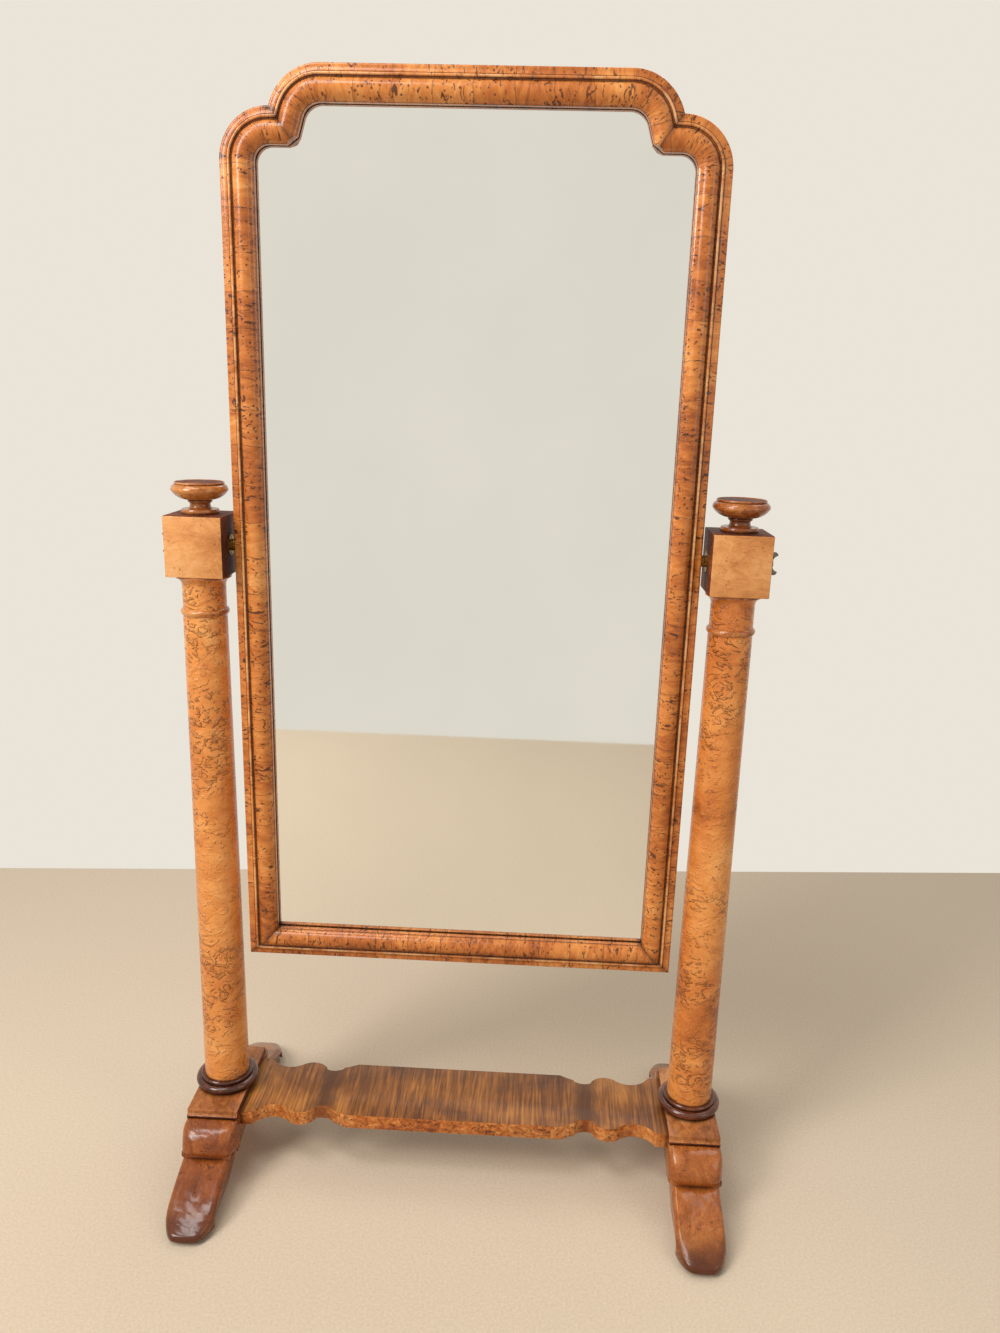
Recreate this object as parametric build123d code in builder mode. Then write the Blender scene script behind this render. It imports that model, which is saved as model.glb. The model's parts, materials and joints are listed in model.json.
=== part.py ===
"""A cheval mirror: a tall looking-glass hung between two turned columns on sledge feet.

Millimetres, +Z up, +X to the right as one faces the glass, the glass faces -Y.
The origin is on the floor, under the middle of the stand.
"""
import os
from math import asin, cos, degrees, radians, sin

from build123d import *

# Sledge feet, measured from the middle of the foot
foot_half_length = 238.0
core_width = 81.0
core_half_length = 88.0
core_top = 104.0
toe_width = 75.0
toe_tip_height = 16.0
toe_middle = (190.0, 39.0)
toe_root = (127.0, 61.0)
toe_plan_radius = 22.0
toe_edge_radius = 8.0
toe_underside = 25.0
nose_clearance = 8.0
nose_thickness = 24.0
nose_hollow = 11.0
arch_crown = 62.0
arch_half_length = 132.0
arch_beam = 20.0
pillow_width = 84.0
pillow_shoulder = 92.0
pillow_crown = 106.0
pillow_radius = 38.0
pillow_tuck_radius = 16.0
pillow_edge_radius = 9.0
pillow_joint = 0.3

# Cap block under each column
cap_height = 14.0
cap_half_length = 84.5
cap_lip = 4.0
cap_lip_height = 6.5
cap_quirk = 1.0

# Turned base ring
ring_radius = 50.5
ring_neck_radius = 45.0
ring_roll_height = 13.0
ring_fillet_radius = 42.5
ring_fillet_height = 6.0
ring_fillet_round = 1.5

# Turned column
column_length = 842.0
column_base_radius = 36.0
column_top_radius = 32.0
column_neck_radius = 31.5
astragal_radius = 35.2
astragal_height = 10.0
astragal_below_block = 55.0
cove_radius_top = 40.5
cove_height = 15.0
cove_fillet = 4.0
cove_quirk = 1.5
spigot_radius = 16.0
spigot_depth = 40.0
top_spigot_radius = 12.0
top_spigot_depth = 25.0
glue_gap = 0.1

# Head block and finial
block_width = 84.0
block_depth = 84.0
block_height = 88.0
block_chamfer = 1.2
finial_base_radius = 27.0
finial_base_height = 7.0
finial_neck_radius = 14.5
finial_collar_radius = 17.5
finial_collar_height = 18.0
bun_radius = 40.5
bun_middle_height = 34.0
finial_rim_radius = 35.5
finial_rim_thickness = 3.2
finial_height = 45.5
finial_dish = 0.8
finial_spigot_radius = 8.0
finial_spigot_depth = 20.0

# Stretcher platform: points of its shaped ends as (distance from the foot, half depth)
stretcher_top = 107.0
stretcher_thickness = 24.0
panel_end = (170.5, 64.5)
ogee_middle = (156.5, 57.0)
ogee_end = (148.5, 54.0)
notch_start = (146.5, 50.0)
notch_middle = (133.5, 44.5)
notch_end = (119.5, 47.0)
swelling_start = (116.5, 53.0)
swelling_middle = (98.5, 63.5)
swelling_end = (74.5, 56.0)
waist = (49.5, 48.5)
waist_end = (28.5, 57.0)
lug_half_depth = 69.0
lug_length = 20.0
lug_corner = 3.0
tenon_length = 14.0
tenon_width = 90.0
tenon_thickness = 12.0

# Looking-glass frame
frame_width = 672.0
frame_height = 1286.0
side_gap = 9.0
pivot_above_frame = 659.0
shoulder_radius = 67.0
crown_radius = 71.0
crown_rise = 51.0
nib_from_cusp = 51.0

# Section of the frame's moulding
frame_half_thickness = 13.0
moulding_width = 46.0
outer_round = 3.0
band_width = 10.5
band_fall = 2.4
bead_radius = 2.2
bead_height = 3.0
quirk_depth = 1.6
torus_start = 17.5
torus_height = 11.5
sight_lip = 9.0
glass_rebate = 38.0
board_rebate = 28.0
glass_thickness = 4.0
glass_clearance = 1.0
board_thickness = 8.0
board_clearance = 0.5
glazing_block_length = 30.0
glazing_block_width = 6.0

# Pivot fittings and thumbscrews
shank_radius = 4.0
shank_clearance = 0.3
thread_clearance = 0.06
plate_radius = 15.0
plate_thickness = 1.5
boss_radius = 8.5
boss_gap = 0.3
boss_height = 4.2
nut_plate_width = 18.0
nut_plate_height = 64.0
nut_plate_thickness = 3.0
nut_barrel_radius = 7.0
nut_barrel_length = 14.0
nut_screw_spacing = 24.0
washer_radius = 10.0
washer_thickness = 1.6
knob_radius = 7.0
knob_length = 6.0
wing_half_span = 16.5
wing_root = 4.5
wing_tip_radius = 5.0
wing_thickness = 3.6
wing_lean = 5.0

# Wood screws
screw_radius = 1.75
screw_head_radius = 3.5
board_screw_length = 12.0
board_screw_inset = 33.0
board_screws_up = 5
board_screw_spread = 150.0
plate_screw_length = 10.0
plate_screw_radius = 1.2
plate_screw_head_radius = 2.2
plate_screw_circle = 11.5

# Castors
castor_from_tip = 70.0
castor_plate_radius = 15.0
castor_plate_thickness = 2.0
castor_stem_radius = 3.0
castor_rivet_radius = 4.5
castor_rivet_height = 1.6
castor_running_fit = 0.05
castor_gap = 0.3
castor_hub_radius = 10.0
castor_hub_thickness = 3.0
castor_wheel_radius = 9.5
castor_wheel_width = 11.0
castor_wheel_round = 1.5
castor_trail = 8.5
castor_cheek = 2.0
castor_cheek_gap = 0.4
castor_cheek_radius = 3.6
castor_axle_radius = 1.5
castor_axle_head_radius = 2.4
castor_axle_head = 0.8

# Sizes that follow from the ones above
arch_rise = arch_crown - toe_underside
arch_radius = (arch_half_length**2 + arch_rise**2) / (2 * arch_rise)
cap_top = core_top + cap_height
column_bottom = cap_top + ring_roll_height + ring_fillet_height
block_bottom = column_bottom + column_length
block_top = block_bottom + block_height
pivot_height = block_bottom + block_height / 2
post_x = frame_width / 2 + side_gap + block_width / 2
foot_inside = post_x - core_width / 2
stretcher_middle = stretcher_top - stretcher_thickness / 2
frame_bottom = pivot_height - pivot_above_frame
frame_top = frame_bottom + frame_height
cusp = Vector(frame_width / 2 - shoulder_radius, 0, frame_top - crown_rise)
shoulder_z = cusp.Z - shoulder_radius
crown_z = frame_top - crown_radius
crown_angle = degrees(asin((cusp.Z - crown_z) / crown_radius))
crown_x = cusp.X - crown_radius * cos(radians(crown_angle))
crown_out = Vector(cos(radians(crown_angle)), 0, sin(radians(crown_angle)))
crown_heading = Vector(crown_out.Z, 0, -crown_out.X)
mitre_angle = (90 + crown_angle) / 2
mitre_way = Vector(-cos(radians(mitre_angle)), 0, -sin(radians(mitre_angle)))
glass_front = sight_lip - frame_half_thickness
glass_back = glass_front + glass_thickness
board_front = frame_half_thickness - board_thickness
block_in = post_x - block_width / 2
block_out = post_x + block_width / 2
washer_x = block_out + plate_thickness
knob_x = washer_x + washer_thickness
castor_from_centre = foot_half_length - castor_from_tip
castor_plate_top = toe_underside + castor_plate_thickness
castor_hub_top = toe_underside - castor_gap
sides = {"left": -1, "right": 1}
ends = {"front": -1, "back": 1}

os.makedirs("parts", exist_ok=True)


def save(piece, name):
    """Label a finished piece and write it out under its node name."""
    piece.label = name
    export_step(piece, f"parts/{name}.step")


def upright(x):
    """A plane across the object at x, drawn as (Y, Z)."""
    return Plane((x, 0, 0), x_dir=(0, 1, 0), z_dir=(1, 0, 0))


def facing(y):
    """A plane that faces the viewer at depth y, drawn as (X, Z)."""
    return Plane((0, y, 0), x_dir=(1, 0, 0), z_dir=(0, -1, 0))


def turning_plane(x):
    """A plane through a post's axis, drawn as (radius, height)."""
    return Plane((x, 0, 0), x_dir=(1, 0, 0), z_dir=(0, -1, 0))


def post_axis(x):
    """The upright axis that a post's turnings are spun about."""
    return Axis((x, 0, 0), (0, 0, 1))


def pins(places, length, radius):
    """Plain round pins at each (point, way in), to be cut out as holes."""
    with BuildPart() as group:
        for point, way_in in places:
            with BuildSketch(Plane(point, z_dir=way_in)):
                Circle(radius)
            extrude(amount=length)
    return group.part


def wood_screws(places, length, radius, head_radius):
    """A group of countersunk screws, heads flush at each (point, way in)."""
    head_depth = head_radius - radius
    with BuildPart() as group:
        for point, way_in in places:
            with BuildSketch(Plane(point, z_dir=way_in)):
                Circle(head_radius)
            extrude(amount=head_depth, taper=45)
            with BuildSketch(Plane(point, z_dir=way_in)):
                Circle(radius)
            extrude(amount=length)
    return group.part


# Where the screws go, as (point, way in).

def rose_screws(x, way_in):
    """Two screws above and below the pivot on a round plate against a head block's face."""
    face = x - way_in * plate_thickness
    return [((face, 0, pivot_height + up * plate_screw_circle), (way_in, 0, 0)) for up in (-1, 1)]


def nut_screws(way):
    """Two screws through a nut plate in a stile's edge."""
    return [((way * frame_width / 2, 0, pivot_height + up * nut_screw_spacing), (-way, 0, 0))
            for up in (-1, 1)]


def castor_screws_at(x, y):
    """Two screws through a castor's plate, either side of its stem."""
    return [((x + across * plate_screw_circle, y, toe_underside), (0, 0, 1)) for across in (-1, 1)]


def board_screws_round():
    """The back board's screws, on a line inside the edge of the frame."""
    inset_x = frame_width / 2 - board_screw_inset
    low = frame_bottom + board_screw_inset
    high = frame_top - board_screw_inset
    spacing = (shoulder_z - low - board_screw_inset) / board_screws_up
    spots = [(way * inset_x, low + spacing * (i + 0.5)) for way in (-1, 1) for i in range(board_screws_up)]
    spots += [(x, z) for z in (low, high) for x in (-board_screw_spread, 0, board_screw_spread)]
    return [((x, frame_half_thickness, z), (0, -1, 0)) for x, z in spots]


# Each sledge foot is a core beam, a long toe slab and two pillows on its shoulders.

def toe_slab(x):
    """The low slab from toe to toe, rounded in plan and along its upper edges."""
    tip = (foot_half_length, toe_tip_height)
    nose = foot_half_length - nose_thickness
    inner = nose - nose_hollow
    with BuildPart() as slab:
        with BuildSketch(upright(x)):
            with BuildLine():
                ThreePointArc(toe_root, toe_middle, tip)
                Polyline(tip, (foot_half_length, nose_clearance), (nose, nose_clearance))
                RadiusArc((nose, nose_clearance), (inner, toe_underside), -(toe_underside - nose_clearance))
                Polyline((inner, toe_underside), (0, toe_underside), (0, toe_root[1]), toe_root)
            make_face()
        extrude(amount=toe_width / 2, both=True)
        mirror(about=Plane.XZ)
        with BuildSketch(Plane.XY):
            with Locations((x, 0)):
                RectangleRounded(toe_width, 2 * foot_half_length, toe_plan_radius)
        extrude(amount=core_top, mode=Mode.INTERSECT)
        tops = slab.faces().filter_by(GeomType.CYLINDER).sort_by(SortBy.AREA)[-2:]
        rims = tops.edges().filter_by(lambda edge: abs(edge.center().Y) > toe_root[0] + 1)
        fillet(rims, toe_edge_radius)
    return slab


def pillow(x):
    """The rounded cushion carved on the foot's back shoulder."""
    start = core_half_length - toe_edge_radius
    with BuildPart() as cushion:
        with BuildSketch(upright(x)):
            with BuildLine():
                over = JernArc((pillow_shoulder, pillow_crown), (1, 0), pillow_radius, -80)
                tuck = JernArc(over @ 1, over % 1, pillow_tuck_radius, -75)
                Polyline(tuck @ 1, (start, (tuck @ 1).Y), (start, pillow_crown),
                         (pillow_shoulder, pillow_crown))
            make_face()
        extrude(amount=pillow_width / 2, both=True)
        fillet(cushion.edges().filter_by(GeomType.CIRCLE), pillow_edge_radius)
    return cushion


def sledge_foot(x, way):
    """A foot with its arch, its seats for the column and the castors, and the stretcher's mortise."""
    slab = toe_slab(x)
    cushion = pillow(x)
    castors = [(x, -castor_from_centre), (x, castor_from_centre)]
    with BuildPart() as foot:
        with BuildSketch(Plane.XY.offset(arch_crown - arch_beam)):
            with Locations((x, 0)):
                Rectangle(core_width, 2 * core_half_length)
        extrude(amount=core_top - arch_crown + arch_beam)
        add(slab.part)
        add(cushion.part)
        add(mirror(cushion.part, about=Plane.XZ, mode=Mode.PRIVATE))
        with BuildSketch(Plane.XY.offset(core_top)):
            with Locations((x, 0)):
                Rectangle(pillow_width, 2 * (cap_half_length + cap_lip + pillow_joint))
        extrude(amount=pillow_crown - core_top + 1, mode=Mode.SUBTRACT)
        with BuildSketch(Plane.XY.offset(core_top)):
            with Locations((x, 0)):
                Circle(spigot_radius + glue_gap)
        extrude(amount=-(spigot_depth - cap_height + glue_gap), mode=Mode.SUBTRACT)
        with BuildSketch(upright(x)):
            with Locations((0, arch_crown - arch_radius)):
                Circle(arch_radius)
        extrude(amount=pillow_width, both=True, mode=Mode.SUBTRACT)
        with BuildSketch(upright(x - way * core_width / 2)):
            with Locations((0, stretcher_middle)):
                Rectangle(tenon_width + 2 * glue_gap, tenon_thickness + 2 * glue_gap)
        extrude(amount=way * (tenon_length + glue_gap), mode=Mode.SUBTRACT)
        with BuildSketch(Plane.XY.offset(toe_underside)):
            with Locations(castors):
                Circle(castor_plate_radius + glue_gap)
        extrude(amount=castor_plate_thickness, mode=Mode.SUBTRACT)
        with BuildSketch(Plane.XY.offset(castor_plate_top)):
            with Locations(castors):
                Circle(castor_rivet_radius + castor_gap)
        extrude(amount=castor_rivet_height + 2 * castor_gap, mode=Mode.SUBTRACT)
        castor_places = castor_screws_at(x, -castor_from_centre) + castor_screws_at(x, castor_from_centre)
        add(pins(castor_places, plate_screw_length, plate_screw_radius), mode=Mode.SUBTRACT)
    return foot


def cap_block(x):
    """The block on top of a foot, with a rounded lip at its front and back ends."""
    lip_top = core_top + cap_lip_height
    lip_start = cap_half_length + cap_quirk
    with BuildPart() as block:
        with BuildSketch(upright(x)):
            with BuildLine():
                Polyline((lip_start, lip_top), (cap_half_length, lip_top + cap_quirk),
                         (cap_half_length, cap_top), (0, cap_top), (0, core_top), (lip_start, core_top))
                ThreePointArc((lip_start, core_top),
                              (cap_half_length + cap_lip, core_top + cap_lip_height / 2),
                              (lip_start, lip_top))
            make_face()
        extrude(amount=core_width / 2, both=True)
        mirror(about=Plane.XZ)
        with BuildSketch(Plane.XY.offset(core_top)):
            with Locations((x, 0)):
                Circle(spigot_radius + glue_gap)
        extrude(amount=cap_height, mode=Mode.SUBTRACT)
    return block


# The turnings of a post: base ring, column, head block and finial.

def base_ring(x):
    """The ring round the foot of a column: a heavy roll under a thin fillet."""
    bore = spigot_radius + glue_gap
    roll_top = cap_top + ring_roll_height
    fillet_in = ring_fillet_radius - ring_fillet_round
    with BuildPart() as ring:
        with BuildSketch(turning_plane(x)):
            with BuildLine():
                ThreePointArc((ring_neck_radius, cap_top),
                              (ring_radius, cap_top + ring_roll_height / 2),
                              (ring_neck_radius, roll_top))
                Line((ring_neck_radius, roll_top), (fillet_in, roll_top))
                ThreePointArc((fillet_in, roll_top),
                              (ring_fillet_radius, column_bottom - ring_fillet_height / 2),
                              (fillet_in, column_bottom))
                Polyline((fillet_in, column_bottom), (bore, column_bottom), (bore, cap_top),
                         (ring_neck_radius, cap_top))
            make_face()
        revolve(axis=post_axis(x))
    return ring


def column(x):
    """A column that tapers upwards, with an astragal and a cove under the head block."""
    astragal = block_bottom - astragal_below_block
    shaft_top = astragal - astragal_height
    bead_bottom = astragal - astragal_height / 2
    bead_top = astragal + astragal_height / 2
    cove_top = block_bottom - cove_fillet
    cove_bottom = cove_top - cove_height
    cove_edge = cove_radius_top - cove_quirk
    with BuildPart() as post:
        with BuildSketch(turning_plane(x)):
            with BuildLine():
                Polyline((0, cap_top - spigot_depth), (spigot_radius, cap_top - spigot_depth),
                         (spigot_radius, column_bottom), (column_base_radius, column_bottom),
                         (column_top_radius, shaft_top))
                ThreePointArc((column_top_radius, shaft_top),
                              (column_neck_radius + 0.3, (shaft_top + bead_bottom) / 2),
                              (column_top_radius + 0.4, bead_bottom))
                ThreePointArc((column_top_radius + 0.4, bead_bottom), (astragal_radius, astragal),
                              (column_neck_radius, bead_top))
                Line((column_neck_radius, bead_top), (column_neck_radius, cove_bottom))
                TangentArc((column_neck_radius, cove_bottom), (cove_edge, cove_top), tangent=(0, 1))
                Polyline((cove_edge, cove_top), (cove_radius_top, cove_top),
                         (cove_radius_top, block_bottom), (top_spigot_radius, block_bottom),
                         (top_spigot_radius, block_bottom + top_spigot_depth),
                         (0, block_bottom + top_spigot_depth), (0, cap_top - spigot_depth))
            make_face()
        revolve(axis=post_axis(x))
    return post


def head_block(x):
    """The square block on a column, bored right through for the thumbscrew's shank."""
    with BuildPart() as block:
        with BuildSketch(Plane.XY.offset(block_bottom)):
            with Locations((x, 0)):
                Rectangle(block_width, block_depth)
        extrude(amount=block_height)
        chamfer(block.edges(), block_chamfer)
        for face_z, up, depth, radius in ((block_bottom, 1, top_spigot_depth, top_spigot_radius),
                                          (block_top, -1, finial_spigot_depth, finial_spigot_radius)):
            with BuildSketch(Plane.XY.offset(face_z)):
                with Locations((x, 0)):
                    Circle(radius + glue_gap)
            extrude(amount=up * (depth + glue_gap), mode=Mode.SUBTRACT)
        with BuildSketch(upright(x)):
            with Locations((0, pivot_height)):
                Circle(shank_radius + shank_clearance)
        extrude(amount=block_width, both=True, mode=Mode.SUBTRACT)
        rose_places = rose_screws(x - block_width / 2, 1) + rose_screws(x + block_width / 2, -1)
        add(pins(rose_places, plate_screw_length, plate_screw_radius), mode=Mode.SUBTRACT)
    return block


def finial(x):
    """A flattened bun with a thin rimmed disc on top, on a collared neck and a low ring."""
    base_top = block_top + finial_base_height
    base_edge = finial_base_radius - 1
    collar = block_top + finial_collar_height
    middle = block_top + bun_middle_height
    top = block_top + finial_height
    rim_bottom = top - finial_rim_thickness
    rim_edge = finial_rim_radius - 1
    root = finial_neck_radius + 3.5
    with BuildPart() as bun:
        with BuildSketch(turning_plane(x)):
            with BuildLine():
                Polyline((0, top - finial_dish), (0, block_top - finial_spigot_depth),
                         (finial_spigot_radius, block_top - finial_spigot_depth),
                         (finial_spigot_radius, block_top), (base_edge, block_top))
                ThreePointArc((base_edge, block_top),
                              (finial_base_radius, (block_top + base_top) / 2), (base_edge, base_top))
                Line((base_edge, base_top), (root, base_top))
                ThreePointArc((root, base_top), (finial_neck_radius, (base_top + collar) / 2),
                              (finial_neck_radius + 0.6, collar - 2))
                ThreePointArc((finial_neck_radius + 0.6, collar - 2), (finial_collar_radius, collar),
                              (finial_neck_radius + 1.6, collar + 2.2))
                ThreePointArc((finial_neck_radius + 1.6, collar + 2.2), (bun_radius - 5.5, middle - 7),
                              (bun_radius, middle))
                ThreePointArc((bun_radius, middle), (bun_radius - 1.2, middle + 4.5),
                              (rim_edge, rim_bottom))
                ThreePointArc((rim_edge, rim_bottom), (finial_rim_radius, (rim_bottom + top) / 2),
                              (rim_edge, top))
                Polyline((rim_edge, top), (rim_edge - finial_dish, top - finial_dish),
                         (0, top - finial_dish))
            make_face()
        revolve(axis=post_axis(x))
    return bun


for side, way in sides.items():
    save(sledge_foot(way * post_x, way).part, f"{side}_foot")
    save(cap_block(way * post_x).part, f"{side}_cap_block")
    save(base_ring(way * post_x).part, f"{side}_base_ring")
    save(column(way * post_x).part, f"{side}_column")
    save(head_block(way * post_x).part, f"{side}_head_block")
    save(finial(way * post_x).part, f"{side}_finial")


# The stretcher is a flat shaped shelf, tenoned between the two feet.

def inward(point):
    """A point of a shaped end, placed from the side of the right foot."""
    return (foot_inside - point[0], point[1])


lug_start = foot_inside - lug_length
with BuildPart() as stretcher:
    with BuildSketch(Plane.XY.offset(stretcher_top - stretcher_thickness)):
        with BuildLine():
            Line((0, panel_end[1]), inward(panel_end))
            ThreePointArc(inward(panel_end), inward(ogee_middle), inward(ogee_end))
            Line(inward(ogee_end), inward(notch_start))
            ThreePointArc(inward(notch_start), inward(notch_middle), inward(notch_end))
            Line(inward(notch_end), inward(swelling_start))
            ThreePointArc(inward(swelling_start), inward(swelling_middle), inward(swelling_end))
            ThreePointArc(inward(swelling_end), inward(waist), inward(waist_end))
            Line(inward(waist_end), (lug_start, lug_half_depth - lug_corner))
            RadiusArc((lug_start, lug_half_depth - lug_corner), (lug_start + lug_corner, lug_half_depth),
                      lug_corner)
            Polyline((lug_start + lug_corner, lug_half_depth), (foot_inside, lug_half_depth),
                     (foot_inside, 0), (0, 0), (0, panel_end[1]))
        make_face()
        mirror(about=Plane.YZ)
        mirror(about=Plane.XZ)
    extrude(amount=stretcher_thickness)
    with BuildSketch(Plane.XY.offset(stretcher_middle - tenon_thickness / 2)):
        Rectangle(2 * (foot_inside + tenon_length), tenon_width)
    extrude(amount=tenon_thickness)
save(stretcher.part, "stretcher")


# The frame is one deep moulding run round a shaped outline, mitred at its cusps and bottom corners.

def across(start, heading, inward):
    """The plane across a rail that runs clockwise as seen from the front."""
    return Plane(tuple(start), x_dir=tuple(inward), z_dir=tuple(heading))


def moulding(plane):
    """The moulding's section, drawn as (distance in from the outer edge, depth)."""
    front = -frame_half_thickness
    back = frame_half_thickness
    bead_start = band_width + 0.7
    bead_middle = bead_start + bead_radius
    bead_end = bead_middle + bead_radius
    torus_end = moulding_width - 1.5
    with BuildSketch(plane) as section:
        with BuildLine():
            Line((0, back), (0, front + outer_round))
            RadiusArc((0, front + outer_round), (outer_round, front), -outer_round)
            ThreePointArc((outer_round, front), ((outer_round + band_width) / 2, front - band_fall / 4),
                          (band_width, front - band_fall))
            Line((band_width, front - band_fall), (bead_start, front - quirk_depth))
            ThreePointArc((bead_start, front - quirk_depth),
                          (bead_middle, front - quirk_depth - bead_height),
                          (bead_end, front - quirk_depth))
            Line((bead_end, front - quirk_depth), (torus_start, front - quirk_depth / 2))
            ThreePointArc((torus_start, front - quirk_depth / 2),
                          ((torus_start + torus_end) / 2 - 1, front - torus_height), (torus_end, front))
            Polyline((torus_end, front), (moulding_width, front + 1), (moulding_width, glass_front),
                     (glass_rebate, glass_front), (glass_rebate, board_front),
                     (board_rebate, board_front), (board_rebate, back), (0, back))
        make_face()
    return section.sketch


mitre = Plane(tuple(cusp), x_dir=(0, 1, 0), z_dir=(-mitre_way.Z, 0, mitre_way.X))
nib = Plane(tuple(cusp + mitre_way * nib_from_cusp), x_dir=(0, 1, 0), z_dir=tuple(mitre_way))
right_mitre = Plane((frame_width / 2, 0, frame_bottom), x_dir=(0, 1, 0), z_dir=(1, 0, 1))
left_mitre = Plane((-frame_width / 2, 0, frame_bottom), x_dir=(0, 1, 0), z_dir=(-1, 0, 1))
down = Vector(0, 0, -1)
onward = Vector(1, 0, 0)
board_pins = pins(board_screws_round(), board_screw_length, screw_radius)

with BuildPart() as top_rail:
    extrude(moulding(across((-crown_x, 0, frame_top), onward, down)), amount=2 * crown_x)
    add(board_pins, mode=Mode.SUBTRACT)
save(top_rail.part, "top_rail")

with BuildPart() as bottom_rail:
    extrude(moulding(across((frame_width / 2, 0, frame_bottom), -onward, -down)), amount=frame_width)
    split(bisect_by=right_mitre, keep=Keep.BOTTOM)
    split(bisect_by=left_mitre, keep=Keep.BOTTOM)
    add(board_pins, mode=Mode.SUBTRACT)
save(bottom_rail.part, "bottom_rail")

with BuildPart() as crown_corner:
    revolve(moulding(across((crown_x, 0, frame_top), onward, down)),
            axis=Axis((crown_x, 0, crown_z), (0, 1, 0)), revolution_arc=90 - crown_angle)
    extrude(moulding(across(cusp, crown_heading, -crown_out)), amount=nib_from_cusp)
    split(bisect_by=mitre, keep=Keep.BOTTOM)
    split(bisect_by=nib, keep=Keep.BOTTOM)

with BuildPart() as shoulder:
    revolve(moulding(across(cusp, onward, down)),
            axis=Axis((cusp.X, 0, shoulder_z), (0, 1, 0)), revolution_arc=90)
    extrude(moulding(across(cusp, onward, down)), amount=-nib_from_cusp)
    split(bisect_by=mitre, keep=Keep.TOP)
    split(bisect_by=nib, keep=Keep.BOTTOM)

with BuildPart() as stile:
    extrude(moulding(across((frame_width / 2, 0, shoulder_z), down, -onward)),
            amount=shoulder_z - frame_bottom)
    split(bisect_by=right_mitre, keep=Keep.TOP)
    with BuildSketch(upright(frame_width / 2)):
        with Locations((0, pivot_height)):
            SlotOverall(nut_plate_height + 2 * glue_gap, nut_plate_width + 2 * glue_gap, rotation=90)
    extrude(amount=-nut_plate_thickness, mode=Mode.SUBTRACT)
    with BuildSketch(upright(frame_width / 2)):
        with Locations((0, pivot_height)):
            Circle(nut_barrel_radius + glue_gap)
    extrude(amount=-(nut_plate_thickness + nut_barrel_length + glue_gap), mode=Mode.SUBTRACT)
    add(pins(nut_screws(1), plate_screw_length, plate_screw_radius), mode=Mode.SUBTRACT)
    add(board_pins, mode=Mode.SUBTRACT)

for name, piece in (("crown_corner", crown_corner), ("shoulder", shoulder), ("stile", stile)):
    save(piece.part, f"right_{name}")
    save(mirror(piece.part, about=Plane.YZ), f"left_{name}")


# The looking-glass, its blocks and the back board lie in the frame's rebates.

def frame_outline(inset, y):
    """The frame's outline drawn in by an inset, as a face at depth y."""
    side = frame_width / 2 - inset
    low = frame_bottom + inset
    corner = cusp + mitre_way * (inset / sin(radians(mitre_angle)))
    crown_end = Vector(crown_x, 0, crown_z) + crown_out * (crown_radius - inset)
    crown_middle_way = radians((90 + crown_angle) / 2)
    crown_middle = (crown_x + (crown_radius - inset) * cos(crown_middle_way),
                    crown_z + (crown_radius - inset) * sin(crown_middle_way))
    turn = shoulder_radius - inset
    with BuildSketch(facing(y)) as outline:
        with BuildLine():
            Polyline((0, frame_top - inset), (0, low), (side, low), (side, shoulder_z))
            ThreePointArc((side, shoulder_z),
                          (cusp.X + turn * cos(radians(45)), shoulder_z + turn * sin(radians(45))),
                          (cusp.X, cusp.Z - inset))
            Polyline((cusp.X, cusp.Z - inset), (corner.X, corner.Z), (crown_end.X, crown_end.Z))
            ThreePointArc((crown_end.X, crown_end.Z), crown_middle, (crown_x, frame_top - inset))
            Line((crown_x, frame_top - inset), (0, frame_top - inset))
        make_face()
        mirror(about=Plane.YZ)
    return outline.sketch


with BuildPart() as mirror_glass:
    extrude(frame_outline(glass_rebate + glass_clearance, glass_back), amount=glass_thickness)
save(mirror_glass.part, "mirror_glass")

board_screws = wood_screws(board_screws_round(), board_screw_length, screw_radius, screw_head_radius)
with BuildPart() as back_board:
    extrude(frame_outline(board_rebate + board_clearance, frame_half_thickness), amount=board_thickness)
    add(board_screws, mode=Mode.SUBTRACT)
save(back_board.part, "back_board")
save(board_screws, "board_screws")

block_x = frame_width / 2 - glass_rebate - glazing_block_width / 2
block_span = shoulder_z - frame_bottom
with BuildPart() as glazing_blocks:
    with BuildSketch(facing(board_front)):
        for part_way in (0.15, 0.5, 0.85):
            with Locations((block_x, frame_bottom + block_span * part_way),
                           (-block_x, frame_bottom + block_span * part_way)):
                Rectangle(glazing_block_width, glazing_block_length)
        with Locations((-crown_x / 2, frame_bottom + glass_rebate + glazing_block_width / 2),
                       (crown_x / 2, frame_bottom + glass_rebate + glazing_block_width / 2),
                       (-crown_x / 2, frame_top - glass_rebate - glazing_block_width / 2),
                       (crown_x / 2, frame_top - glass_rebate - glazing_block_width / 2)):
            Rectangle(glazing_block_length, glazing_block_width)
    extrude(amount=board_front - glass_back)
save(glazing_blocks.part, "glazing_blocks")


# Pivot fittings: a threaded nut plate let into each stile, plates on the blocks, and thumbscrews.

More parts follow.
